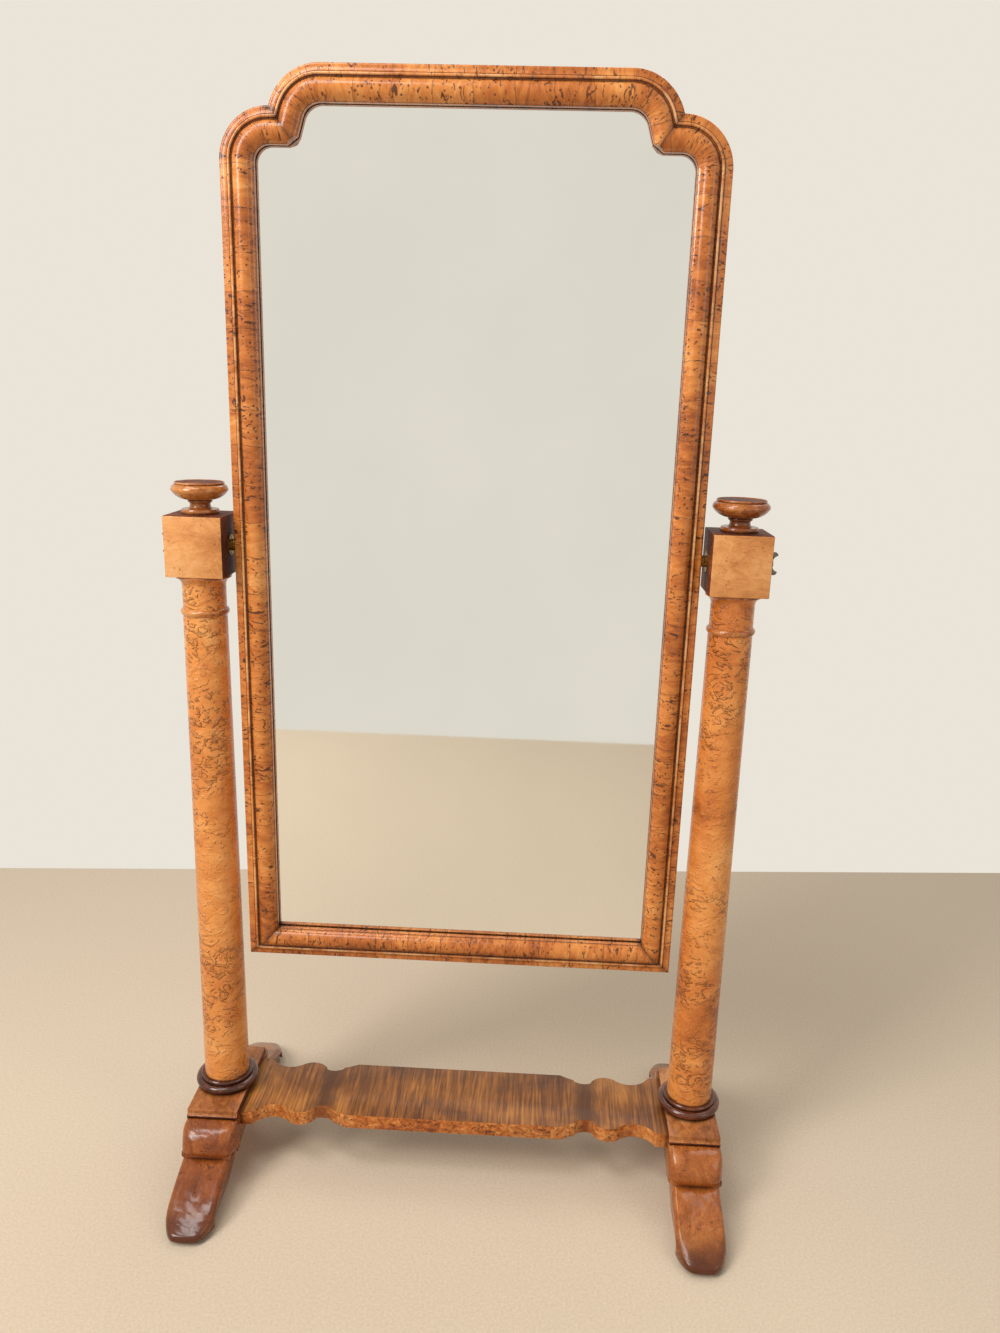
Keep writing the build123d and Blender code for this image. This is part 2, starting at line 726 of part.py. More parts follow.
def nut_plate(way):
    """A plate with a round boss towards the post and a threaded barrel into the stile."""
    face = way * frame_width / 2
    with BuildPart() as plate:
        with BuildSketch(upright(face)):
            with Locations((0, pivot_height)):
                SlotOverall(nut_plate_height, nut_plate_width, rotation=90)
        extrude(amount=-way * nut_plate_thickness)
        with BuildSketch(upright(face)):
            with Locations((0, pivot_height)):
                Circle(nut_barrel_radius)
        extrude(amount=-way * (nut_plate_thickness + nut_barrel_length))
        with BuildSketch(upright(face)):
            with Locations((0, pivot_height)):
                Circle(boss_radius)
        extrude(amount=way * boss_height)
        with BuildSketch(upright(face + way * boss_height)):
            with Locations((0, pivot_height)):
                Circle(shank_radius + thread_clearance)
        extrude(amount=-way * (boss_height + nut_plate_thickness + nut_barrel_length), mode=Mode.SUBTRACT)
        add(nut_plate_screws, mode=Mode.SUBTRACT)
    return plate


def block_plate(x, way_in, rise):
    """A round plate on a head block's face, with a boss that rises from it or none."""
    with BuildPart() as plate:
        with BuildSketch(upright(x)):
            with Locations((0, pivot_height)):
                Circle(plate_radius)
        extrude(amount=-way_in * plate_thickness)
        if rise:
            with BuildSketch(upright(x)):
                with Locations((0, pivot_height)):
                    Circle(boss_radius)
            extrude(amount=-way_in * (plate_thickness + rise))
        with BuildSketch(upright(x)):
            with Locations((0, pivot_height)):
                Circle(shank_radius + shank_clearance)
        extrude(amount=-way_in * (plate_thickness + rise), mode=Mode.SUBTRACT)
        add(plate_screws, mode=Mode.SUBTRACT)
    return plate


def washer(way):
    """The loose washer under a thumbscrew."""
    with BuildPart() as ring:
        with BuildSketch(upright(way * washer_x)):
            with Locations((0, pivot_height)):
                Circle(washer_radius)
                Circle(shank_radius + shank_clearance, mode=Mode.SUBTRACT)
        extrude(amount=way * washer_thickness)
    return ring


def thumbscrew(way):
    """A winged screw whose shank passes through the head block into the nut plate."""
    reach = frame_width / 2 - nut_barrel_length
    with BuildPart() as screw:
        with BuildSketch(upright(way * knob_x)):
            with Locations((0, pivot_height)):
                Circle(knob_radius)
        extrude(amount=way * knob_length)
        knob_rim = screw.edges().group_by(Axis.X)[-1 if way > 0 else 0]
        fillet(knob_rim, knob_length / 4)
        with BuildSketch(upright(way * knob_x)):
            with Locations((0, pivot_height)):
                Circle(shank_radius)
        extrude(amount=-way * (knob_x - reach))
        with BuildSketch(facing(wing_thickness / 2)):
            wing_x = way * (knob_x + knob_length / 2 + wing_lean)
            for up in (-1, 1):
                with BuildLine():
                    root_in = way * (knob_x + 1)
                    root_out = way * (knob_x + knob_length)
                    Line((root_in, pivot_height), (root_in, pivot_height + up * wing_root))
                    tip = pivot_height + up * (wing_half_span - wing_tip_radius)
                    Line((root_in, pivot_height + up * wing_root), (wing_x - way * wing_tip_radius, tip))
                    ThreePointArc((wing_x - way * wing_tip_radius, tip),
                                  (wing_x, pivot_height + up * wing_half_span),
                                  (wing_x + way * wing_tip_radius, tip))
                    ThreePointArc((wing_x + way * wing_tip_radius, tip),
                                  (wing_x - way * 1, pivot_height + up * knob_radius),
                                  (root_out, pivot_height + up * wing_root))
                    Polyline((root_out, pivot_height + up * wing_root), (root_out, pivot_height),
                             (root_in, pivot_height))
                make_face()
        extrude(amount=wing_thickness)
    return screw


plate_screw_places = []
nut_screw_places = []
for way in (-1, 1):
    plate_screw_places += rose_screws(way * block_in, way) + rose_screws(way * block_out, -way)
    nut_screw_places += nut_screws(way)
plate_screws = wood_screws(plate_screw_places, plate_screw_length, plate_screw_radius,
                           plate_screw_head_radius)
nut_plate_screws = wood_screws(nut_screw_places, plate_screw_length, plate_screw_radius,
                               plate_screw_head_radius)
save(plate_screws, "plate_screws")
save(nut_plate_screws, "nut_plate_screws")

inner_rise = side_gap - plate_thickness - boss_gap - boss_height
for side, way in sides.items():
    save(nut_plate(way).part, f"{side}_nut_plate")
    save(block_plate(way * block_in, way, inner_rise).part, f"{side}_inner_plate")
    save(block_plate(way * block_out, -way, 0).part, f"{side}_outer_plate")
    save(washer(way).part, f"{side}_washer")
    save(thumbscrew(way).part, f"{side}_thumbscrew")


# Small swivelling castors, sunk out of sight behind the noses of the feet.

def castor_plate(x, y):
    """The round plate let into the underside of a toe."""
    with BuildPart() as plate:
        with BuildSketch(Plane.XY.offset(toe_underside)):
            with Locations((x, y)):
                Circle(castor_plate_radius)
                Circle(castor_stem_radius + castor_running_fit, mode=Mode.SUBTRACT)
        extrude(amount=castor_plate_thickness)
        add(castor_screws, mode=Mode.SUBTRACT)
    return plate


def castor_fork(x, y, trail):
    """The swivelling horn: a disc with two cheeks for the axle, riveted through the plate."""
    cheek_in = castor_wheel_width / 2 + castor_cheek_gap
    axle_y = y + trail
    hub_bottom = castor_hub_top - castor_hub_thickness
    with BuildPart() as fork:
        with BuildSketch(Plane.XY.offset(hub_bottom)):
            with Locations((x, y)):
                Circle(castor_hub_radius)
        extrude(amount=castor_hub_thickness)
        with BuildSketch(Plane.XY.offset(castor_hub_top)):
            with Locations((x, y)):
                Circle(castor_stem_radius)
        extrude(amount=castor_plate_top + castor_gap - castor_hub_top)
        with BuildSketch(Plane.XY.offset(castor_plate_top + castor_gap)):
            with Locations((x, y)):
                Circle(castor_rivet_radius)
        extrude(amount=castor_rivet_height)
        for sideways in (-1, 1):
            with BuildSketch(upright(x + sideways * cheek_in)):
                with Locations((axle_y, castor_wheel_radius)):
                    Circle(castor_cheek_radius)
                with Locations((y, hub_bottom + 0.5)):
                    Rectangle(castor_hub_radius, 1)
                make_hull()
            extrude(amount=sideways * castor_cheek)
        with BuildSketch(upright(x)):
            with Locations((axle_y, castor_wheel_radius)):
                Circle(castor_axle_radius)
        extrude(amount=castor_hub_radius, both=True, mode=Mode.SUBTRACT)
    return fork


def castor_axle(x, axle_y):
    """The pin through a castor's cheeks and wheel, headed at both ends."""
    outside = castor_wheel_width / 2 + castor_cheek_gap + castor_cheek
    with BuildPart() as pin:
        with BuildSketch(upright(x)):
            with Locations((axle_y, castor_wheel_radius)):
                Circle(castor_axle_radius)
        extrude(amount=outside + castor_axle_head, both=True)
        for sideways in (-1, 1):
            with BuildSketch(upright(x + sideways * outside)):
                with Locations((axle_y, castor_wheel_radius)):
                    Circle(castor_axle_head_radius)
            extrude(amount=sideways * castor_axle_head)
    return pin


def castor_wheel(x, axle_y):
    """A small turned wheel with rounded edges."""
    with BuildPart() as wheel:
        with BuildSketch(upright(x)):
            with Locations((axle_y, castor_wheel_radius)):
                Circle(castor_wheel_radius)
        extrude(amount=castor_wheel_width / 2, both=True)
        fillet(wheel.edges(), castor_wheel_round)
        with BuildSketch(upright(x)):
            with Locations((axle_y, castor_wheel_radius)):
                Circle(castor_axle_radius + castor_running_fit)
        extrude(amount=castor_wheel_width, both=True, mode=Mode.SUBTRACT)
    return wheel


castor_screw_places = []
for way in (-1, 1):
    for end in (-1, 1):
        castor_screw_places += castor_screws_at(way * post_x, end * castor_from_centre)
castor_screws = wood_screws(castor_screw_places, plate_screw_length, plate_screw_radius,
                            plate_screw_head_radius)
save(castor_screws, "castor_screws")

for side, way in sides.items():
    for end_name, end in ends.items():
        x = way * post_x
        y = end * castor_from_centre
        axle_y = y - end * castor_trail
        name = f"{end_name}_{side}_castor"
        save(castor_plate(x, y).part, f"{name}_plate")
        save(castor_fork(x, y, -end * castor_trail).part, f"{name}_fork")
        save(castor_axle(x, axle_y).part, f"{name}_axle")
        save(castor_wheel(x, axle_y).part, f"{name}_wheel")
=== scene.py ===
# %% [markdown]
# # A cheval mirror in figured maple
# The stand and its looking-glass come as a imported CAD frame. This lesson keeps that frame fixed, remakes
# the mouldings, turnings and blocks with finer surfaces, and gives every part its real finish.

import json
import math

import bpy
from mathutils import Matrix, Vector

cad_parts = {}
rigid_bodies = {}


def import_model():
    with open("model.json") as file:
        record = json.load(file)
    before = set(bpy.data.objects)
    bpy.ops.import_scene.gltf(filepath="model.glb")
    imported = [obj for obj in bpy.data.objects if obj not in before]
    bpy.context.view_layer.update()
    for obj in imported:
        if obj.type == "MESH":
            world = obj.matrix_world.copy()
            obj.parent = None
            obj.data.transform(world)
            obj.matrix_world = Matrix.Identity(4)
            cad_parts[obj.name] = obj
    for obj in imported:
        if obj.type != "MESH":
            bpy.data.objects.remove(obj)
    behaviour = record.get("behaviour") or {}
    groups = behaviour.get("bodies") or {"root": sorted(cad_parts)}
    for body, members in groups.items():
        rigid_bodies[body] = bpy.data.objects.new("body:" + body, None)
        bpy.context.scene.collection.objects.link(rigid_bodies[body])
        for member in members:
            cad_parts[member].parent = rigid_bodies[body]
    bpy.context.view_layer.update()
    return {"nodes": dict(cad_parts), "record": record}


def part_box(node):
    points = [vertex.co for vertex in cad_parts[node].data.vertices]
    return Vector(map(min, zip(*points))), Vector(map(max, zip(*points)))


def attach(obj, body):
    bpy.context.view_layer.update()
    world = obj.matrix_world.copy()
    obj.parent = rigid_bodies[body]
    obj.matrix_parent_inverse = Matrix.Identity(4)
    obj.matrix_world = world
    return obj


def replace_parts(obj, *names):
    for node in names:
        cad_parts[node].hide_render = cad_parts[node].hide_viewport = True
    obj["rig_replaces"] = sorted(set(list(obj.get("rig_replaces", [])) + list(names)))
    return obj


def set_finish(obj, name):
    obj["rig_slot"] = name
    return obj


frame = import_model()
nodes = frame["nodes"]
body_of_node = {n: b for b, names in frame["record"]["behaviour"]["bodies"].items() for n in names}
MM = 0.001

# %% [markdown]
# ## Working by hand in code
# An operator acts on all that is selected, so each piece starts from an empty selection. A piece is a new
# primitive, or a copy of a CAD node whose shape is nearly right. When it is finished its doubles are
# merged and its faces turned outwards, and it rides on the body that carries it.


# %% Helpers for modelling
MERGE = 0.01 * MM


def clear_selection():
    bpy.ops.object.select_all(action="DESELECT")


def begin(piece, name):
    """Name the new primitive and open it with everything selected."""
    piece.name = piece.data.name = f"finished_{name}"
    bpy.ops.object.mode_set(mode="EDIT")
    bpy.ops.mesh.select_all(action="SELECT")
    return piece


def copy_of(node, name=None):
    """Copy a CAD node, open the copy with everything selected, and merge its loose triangles."""
    piece = bpy.data.objects.new(f"finished_{name or node}", nodes[node].data.copy())
    bpy.context.scene.collection.objects.link(piece)
    clear_selection()
    piece.select_set(True)
    bpy.context.view_layer.objects.active = piece
    bpy.ops.object.mode_set(mode="EDIT")
    bpy.ops.mesh.select_all(action="SELECT")
    bpy.ops.mesh.remove_doubles(threshold=MERGE)
    return piece


def hand_over(piece, node, slot, smooth=35):
    """Close a piece and let it stand for its CAD node."""
    bpy.ops.mesh.select_all(action="SELECT")
    bpy.ops.mesh.remove_doubles(threshold=MERGE)
    bpy.ops.mesh.normals_make_consistent(inside=False)
    bpy.ops.object.mode_set(mode="OBJECT")
    bpy.ops.object.transform_apply(location=True, rotation=True, scale=True)
    bpy.ops.object.shade_smooth_by_angle(angle=math.radians(smooth))
    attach(piece, body_of_node[node])
    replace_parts(piece, node)
    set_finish(piece, slot)
    clear_selection()
    return piece


def ring_of_points(name, points):
    """A closed outline: a primitive circle whose corners are moved to the given points."""
    clear_selection()
    bpy.ops.mesh.primitive_circle_add(vertices=len(points), radius=0.1, fill_type="NGON")
    piece = bpy.context.object
    for corner, point in zip(piece.data.vertices, points):
        corner.co = point
    return begin(piece, name)


def arc(start, middle, end, steps):
    """Points on the circle through three points, without the first."""
    (ax, ay), (bx, by), (cx, cy) = start, middle, end
    d = 2 * (ax * (by - cy) + bx * (cy - ay) + cx * (ay - by))
    a2, b2, c2 = ax * ax + ay * ay, bx * bx + by * by, cx * cx + cy * cy
    ux = (a2 * (by - cy) + b2 * (cy - ay) + c2 * (ay - by)) / d
    uy = (a2 * (cx - bx) + b2 * (ax - cx) + c2 * (bx - ax)) / d
    first, mid, last = (math.atan2(y - uy, x - ux) for x, y in (start, middle, end))
    sweep = (last - first) % math.tau
    if (mid - first) % math.tau > sweep:
        sweep -= math.tau
    radius = math.hypot(ax - ux, ay - uy)
    return [(ux + radius * math.cos(first + sweep * i / steps),
             uy + radius * math.sin(first + sweep * i / steps)) for i in range(1, steps + 1)]


# %% [markdown]
# ## The moulding round the glass
# A joiner planes one long moulding and mitres it into lengths: a thin outer edge, a hollow, a fine bead
# and one broad round that falls to the glass. The section is drawn once. It is extruded for straight
# lengths, spun for curved ones, and cut with bisect where two lengths meet in a mitre.

# %% The section of the moulding
# Each corner is a distance in from the outer edge and a depth from the middle plane, in millimetres. The
# bead lies between two quirks, and the sight edge is where the wood meets the glass.
BEAD_OUTSIDE, BEAD_INSIDE, SIGHT_EDGE, OUTER_EDGE = (11.2, -14.6), (17.5, -13.8), (46, -12), (0, -10)
section = [(0, 13), OUTER_EDGE, *arc(OUTER_EDGE, (0.88, -12.12), (3, -13), 4),
           *arc((3, -13), (6.75, -13.6), (10.5, -15.4), 6), BEAD_OUTSIDE,
           *arc(BEAD_OUTSIDE, (13.4, -17.6), (15.6, -14.6), 9), BEAD_INSIDE,
           *arc(BEAD_INSIDE, (30, -24.5), (44.5, -13), 18), SIGHT_EDGE, (46, -4),
           (38, -4), (38, 5), (28, 5), (28, 13)]
HALF_WIDTH, FOOT_Z, TOP_Z = 336.0, 364.0, 1650.0
SHOULDER_X, SHOULDER_Z, SHOULDER_R = 269.0, 1532.0, 67.0
CROWN_X, CROWN_Z, CROWN_R = 200.9, 1579.0, 71.0
CROWN_START = math.radians(16.36)
CUSP = Vector((269.0, 0, 1599.0))
MITRE = Vector((-0.599, 0, -0.8007))
NIB = 51.0
print("section has", len(section), "corners")


# %% A run of moulding: its outline, and how far along it a point lies
def place_section(name, corner, inward):
    """The section as a face, standing at one point of the outer edge."""
    return ring_of_points(name, [MM * Vector((corner[0] + u * inward[0], y, corner[1] + u * inward[1]))
                                 for u, y in section])


def draw_out(way, length, steps):
    """Extrude the selected end in equal steps."""
    for _ in range(steps):
        bpy.ops.mesh.extrude_region_move(
            TRANSFORM_OT_translate={"value": [c * MM * length / steps for c in way]})


def cut(point, away):
    """Saw through the piece and keep what lies behind the cut."""
    bpy.ops.mesh.select_all(action="SELECT")
    bpy.ops.mesh.bisect(plane_co=[c * MM for c in point], plane_no=away, use_fill=True, clear_outer=True)


def straight(side):
    """Height and distance in from a stile's outer edge."""
    return lambda x, z: (z, HALF_WIDTH - side * x)


def curved(side, cx, cz, radius, start, end):
    """Distance round an arc, carried on along the tangent past its ends."""
    def at(x, z):
        dx, dz = side * x - cx, z - cz
        angle = math.atan2(dz, dx)
        if start <= angle <= end:
            return radius * angle, radius - math.hypot(dx, dz)
        limit = start if angle < start else end
        along = -dx * math.sin(limit) + dz * math.cos(limit)
        return radius * limit + along, radius - (dx * math.cos(limit) + dz * math.sin(limit))
    return at


# %% Lay the veneer
# The UV map follows the run, so that the leaves of veneer go round the corners with it.
def lay_veneer(piece, at, start):
    """U runs along the moulding and V across its face, both in metres."""
    across = [0.0]
    for a, b in zip(section, section[1:]):
        across.append(across[-1] + math.dist(a, b))
    while piece.data.uv_layers:
        piece.data.uv_layers.remove(piece.data.uv_layers[0])
    layer = piece.data.uv_layers.new(name="veneer")
    for loop in piece.data.loops:
        point = piece.data.vertices[loop.vertex_index].co / MM
        along, inward = at(point.x, point.z)
        near = min(range(len(section)), key=lambda i: math.dist(section[i], (inward, point.y)))
        layer.data[loop.index].uv = (MM * along + start, MM * across[near])


def finish_length(piece, at, start):
    """Hand over one length. Start keeps its leaves apart from those of the other lengths."""
    hand_over(piece, piece.name.removeprefix("finished_"), "frame_wood", 30)
    lay_veneer(piece, at, start)
    return piece


# %% Stiles and rails
lengths = {}
for side, word in ((-1, "left"), (1, "right")):
    piece = place_section(f"{word}_stile", (side * HALF_WIDTH, FOOT_Z), (-side, 0))
    draw_out((0, 0, 1), SHOULDER_Z - FOOT_Z, 24)
    cut((side * HALF_WIDTH, 0, FOOT_Z), (-side, 0, -1))
    lengths[piece.name] = finish_length(piece, straight(side), 3.0 + side)
piece = place_section("bottom_rail", (-HALF_WIDTH, FOOT_Z), (0, 1))
draw_out((1, 0, 0), 2 * HALF_WIDTH, 16)
cut((-HALF_WIDTH, 0, FOOT_Z), (-1, 0, 1))
cut((HALF_WIDTH, 0, FOOT_Z), (1, 0, 1))
lengths[piece.name] = finish_length(piece, lambda x, z: (x, z - FOOT_Z), 6.0)
piece = place_section("top_rail", (-CROWN_X, TOP_Z), (0, -1))
draw_out((1, 0, 0), 2 * CROWN_X, 10)
lengths[piece.name] = finish_length(piece, lambda x, z: (x, TOP_Z - z), 8.0)
print({n: [round(v, 4) for v in p.dimensions] for n, p in lengths.items()})

# %% Shoulders and crown corners, spun and then mitred at the cusp
SPIN_STEPS, PAST = 20, 40.0
across_mitre = Vector((-MITRE.z, 0, MITRE.x))
for side, word in ((-1, "left"), (1, "right")):
    for part, cx, cz, radius, start, end in (
            ("shoulder", SHOULDER_X, SHOULDER_Z, SHOULDER_R, 0.0, math.pi / 2),
            ("crown_corner", CROWN_X, CROWN_Z, CROWN_R, CROWN_START, math.pi / 2)):
        shoulder = part == "shoulder"
        first, last = (start, end) if shoulder else (end, start)
        out = (side * math.cos(first), math.sin(first))
        piece = place_section(f"{word}_{part}",
                              (side * cx + radius * out[0], cz + radius * out[1]), (-out[0], -out[1]))
        bpy.ops.mesh.spin(steps=SPIN_STEPS, angle=side * (last - first), axis=(0, 1, 0),
                          center=(side * cx * MM, 0, cz * MM))
        way = (-math.sin(last), math.cos(last)) if shoulder else (math.sin(last), -math.cos(last))
        draw_out((side * way[0], 0, way[1]), PAST, 3)
        facing = -1 if shoulder else 1
        cusp = (side * CUSP.x, 0, CUSP.z)
        cut(cusp, (side * facing * across_mitre.x, 0, facing * across_mitre.z))
        tip = CUSP + NIB * MITRE
        cut((side * tip.x, 0, tip.z), (side * MITRE.x, 0, MITRE.z))
        lengths[piece.name] = finish_length(
            piece, curved(side, cx, cz, radius, start, end), 10.0 + side + 4 * shoulder)

# %% [markdown]
# ## Turned work
# Columns, base rings and finials come off a lathe. Half of each outline is drawn from the foot of the
# axis to its top, and spin carries it once round the axis, just as the work turns against the chisel.


# %% The lathe
LATHE_STEPS = 96


def turn(node, outline, x, slot):
    """Spin a half outline of (radius, height) round an upright axis at x."""
    piece = ring_of_points(node, [MM * Vector((x + r, 0, z)) for r, z in outline])
    closed_on_axis = outline[0][0] == outline[-1][0] == 0
    bpy.ops.mesh.delete(type="ONLY_FACE")
    bpy.ops.mesh.select_all(action="SELECT")
    if closed_on_axis:
        bpy.ops.object.mode_set(mode="OBJECT")
        ends = {0, len(outline) - 1}
        for edge in piece.data.edges:
            edge.select = set(edge.vertices) == ends
        for corner in piece.data.vertices:
            corner.select = False
        bpy.ops.object.mode_set(mode="EDIT")
        bpy.ops.mesh.select_mode(type="EDGE")
        bpy.ops.mesh.delete(type="EDGE")
        bpy.ops.mesh.select_mode(type="VERT")
        bpy.ops.mesh.select_all(action="SELECT")
    bpy.ops.mesh.spin(steps=LATHE_STEPS, angle=math.tau, axis=(0, 0, 1), center=(x * MM, 0, 0))
    piece = hand_over(piece, node, slot)
    print(node, len(piece.data.polygons), "faces", [round(v, 4) for v in piece.dimensions])
    return piece


# %% Columns, base rings and finials
POST_X, CAP_TOP, COLUMN_FOOT, BLOCK_Z, BLOCK_TOP = 387.0, 118.0, 137.0, 979.0, 1067.0
shaft = [(36 - 4 * i / 30, COLUMN_FOOT + 777 * i / 30) for i in range(31)]
column_outline = [(0, COLUMN_FOOT), *shaft, *arc((32, 914), (31.8, 916.5), (32.4, 919), 4),
                  *arc((32.4, 919), (35.2, 924), (31.5, 929), 12), (31.5, 940), (31.5, 950), (31.5, 960),
                  *arc((31.5, 960), (33.9, 970.2), (39, 975), 10), (40.5, 975), (40.5, BLOCK_Z), (0, BLOCK_Z)]
ring_outline = [(36.2, CAP_TOP), (45, CAP_TOP), *arc((45, CAP_TOP), (50.5, 124.5), (45, 131), 16), (41, 131),
                *arc((41, 131), (42.5, 134), (41, COLUMN_FOOT), 8), (36.2, COLUMN_FOOT)]
finial_outline = [(0, BLOCK_TOP), (26, BLOCK_TOP), *arc((26, BLOCK_TOP), (27, 1070.5), (26, 1074), 8),
                  (18, 1074), *arc((18, 1074), (14.5, 1079.5), (15.1, 1083), 8),
                  *arc((15.1, 1083), (17.5, 1085), (16.1, 1087.2), 8),
                  *arc((16.1, 1087.2), (35, 1094), (40.5, 1101), 14),
                  *arc((40.5, 1101), (39.3, 1105.5), (34.5, 1109.3), 8),
                  *arc((34.5, 1109.3), (35.5, 1110.9), (34.5, 1112.5), 6), (33.7, 1111.7), (0, 1111.7)]
for side, word in ((-1, "left"), (1, "right")):
    turn(f"{word}_column", column_outline, side * POST_X, "column_wood")
    turn(f"{word}_base_ring", ring_outline, side * POST_X, "ring_wood")
    turn(f"{word}_finial", finial_outline, side * POST_X, "ring_wood")

# %% [markdown]
# ## Blocks
# Each head block is a plain cube of maple with its corners just broken. A cube is laid down at the size
# of its CAD node, and a small bevel rounds its edges. That is quicker than cutting the copy of the CAD
# node, and its faces stay whole.

# %% Head blocks
for word in ("left", "right"):
    low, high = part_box(f"{word}_head_block")
    clear_selection()
    bpy.ops.mesh.primitive_cube_add(size=1, location=(low + high) / 2, scale=high - low)
    piece = begin(bpy.context.object, f"{word}_head_block")
    bpy.ops.object.mode_set(mode="OBJECT")
    bpy.ops.object.transform_apply(location=True, rotation=True, scale=True)
    rounding = piece.modifiers.new("corners", "BEVEL")
    rounding.width, rounding.segments = 1.3 * MM, 3
    bpy.ops.object.modifier_apply(modifier=rounding.name)
    bpy.ops.object.mode_set(mode="EDIT")
    hand_over(piece, f"{word}_head_block", "block_wood", 40)

# %% [markdown]
# ## Edges that hands have softened
# A saw and a file leave sharp corners, and a century of dusting rounds them. The CAD solids of the shelf,
# the cap blocks and the small metal parts have the right shape, so each is copied, its flat facets are
# joined, and a narrow bevel breaks its sharp edges. The light then catches every edge as a fine line.


# %% Break the edges
def soften(node, width, slot, segments=2, sharp=40):
    piece = copy_of(node)
    bpy.ops.mesh.dissolve_limited(angle_limit=math.radians(1))
    bpy.ops.object.mode_set(mode="OBJECT")
    edge = piece.modifiers.new("broken_edge", "BEVEL")
    edge.width, edge.segments = width * MM, segments
    edge.limit_method, edge.angle_limit = "ANGLE", math.radians(sharp)
    bpy.ops.object.modifier_apply(modifier=edge.name)
    bpy.ops.object.mode_set(mode="EDIT")
    hand_over(piece, node, slot, 32)
    print(node, len(piece.data.polygons), "faces", [round(v, 4) for v in piece.dimensions])
    return piece


soften("stretcher", 0.9, "stretcher_wood")
for word in ("left", "right"):
    soften(f"{word}_cap_block", 0.6, "block_wood")
    soften(f"{word}_thumbscrew", 0.7, "thumbscrew_metal", 3)
    for part in ("washer", "outer_plate"):
        soften(f"{word}_{part}", 0.25, "brass")

# %% [markdown]
# ## The sledge feet
# The pillows and toes of the feet were carved, so nothing on them is flat: each pillow is crowned like a
# cushion and each toe ends in a full round. The CAD foot has their lengths and heights. Its copy is sliced
# with bisect into narrow strips, and the strips are then pulled back towards both sides in a smooth curve.

# %% Carve the pillows and toes
PILLOW_BACK, PILLOW_FRONT, PILLOW_FOOT = 94.0, 140.0, 62.5
TOE_ROUND, TOE_TIP = 186.0, 238.0
HALF_FOOT = 42.0
STRIPS = (-39, -36, -32, -27, -21, -14, -7, 0, 7, 14, 21, 27, 32, 36, 39)
SLICES = (188, 196, 204, 211, 217, 223, 228, 232, 235)
PILLOW_PULL, PILLOW_DROP, TOE_PULL = 12.0, 2.4, 20.0


def ease(value, low, high):
    """Nought at low, one at high, and smooth between them."""
    t = min(1.0, max(0.0, (value - low) / (high - low)))
    return t * t * (3 - 2 * t)


def carve_foot(word, centre):
    piece = copy_of(f"{word}_foot")
    bpy.ops.mesh.dissolve_limited(angle_limit=math.radians(0.5))
    for dx in STRIPS:
        bpy.ops.mesh.select_all(action="SELECT")
        bpy.ops.mesh.bisect(plane_co=((centre + dx) * MM, 0, 0), plane_no=(1, 0, 0))
    for y in SLICES:
        for way in (-1, 1):
            bpy.ops.mesh.select_all(action="SELECT")
            bpy.ops.mesh.bisect(plane_co=(0, way * y * MM, 0), plane_no=(0, 1, 0))
    bpy.ops.object.mode_set(mode="OBJECT")
    for corner in piece.data.vertices:
        x, y, z = corner.co / MM
        way, far, off = math.copysign(1, y), abs(y), min(1.0, abs(x - centre) / HALF_FOOT)
        if PILLOW_BACK < far < PILLOW_FRONT and z > PILLOW_FOOT:
            far -= PILLOW_PULL * off ** 4 * ease(far, PILLOW_BACK, 128)
            z -= PILLOW_DROP * off ** 4 * ease(far, PILLOW_BACK, 112) * ease(z, PILLOW_FOOT, 80)
        elif far > TOE_ROUND:
            far -= TOE_PULL * min(1.0, off * 1.12) ** 3.4 * ease(far, TOE_ROUND, TOE_TIP)
        corner.co = (x * MM, way * far * MM, z * MM)
    bpy.ops.object.mode_set(mode="EDIT")
    hand_over(piece, f"{word}_foot", "foot_wood", 38)
    print(piece.name, len(piece.data.polygons), "faces", [round(v, 4) for v in piece.dimensions])


carve_foot("left", -POST_X)
carve_foot("right", POST_X)

# %% [markdown]
# ## Screws
# A wood screw shows one sawn slot across its flush head, and no two slots point the same way. Thin bars
# are laid over the heads of a copy of the CAD screws, each turned a little further, and a Boolean
# modifier takes them out.


# %% Saw the slots
BAR_LENGTH, BAR_DEPTH, BAR_WIDTH, TURN_EACH = 12 * MM, 1.6 * MM, 0.9 * MM, 0.7
SAME_HEAD, SAME_PLANE = 6 * MM, 0.1 * MM


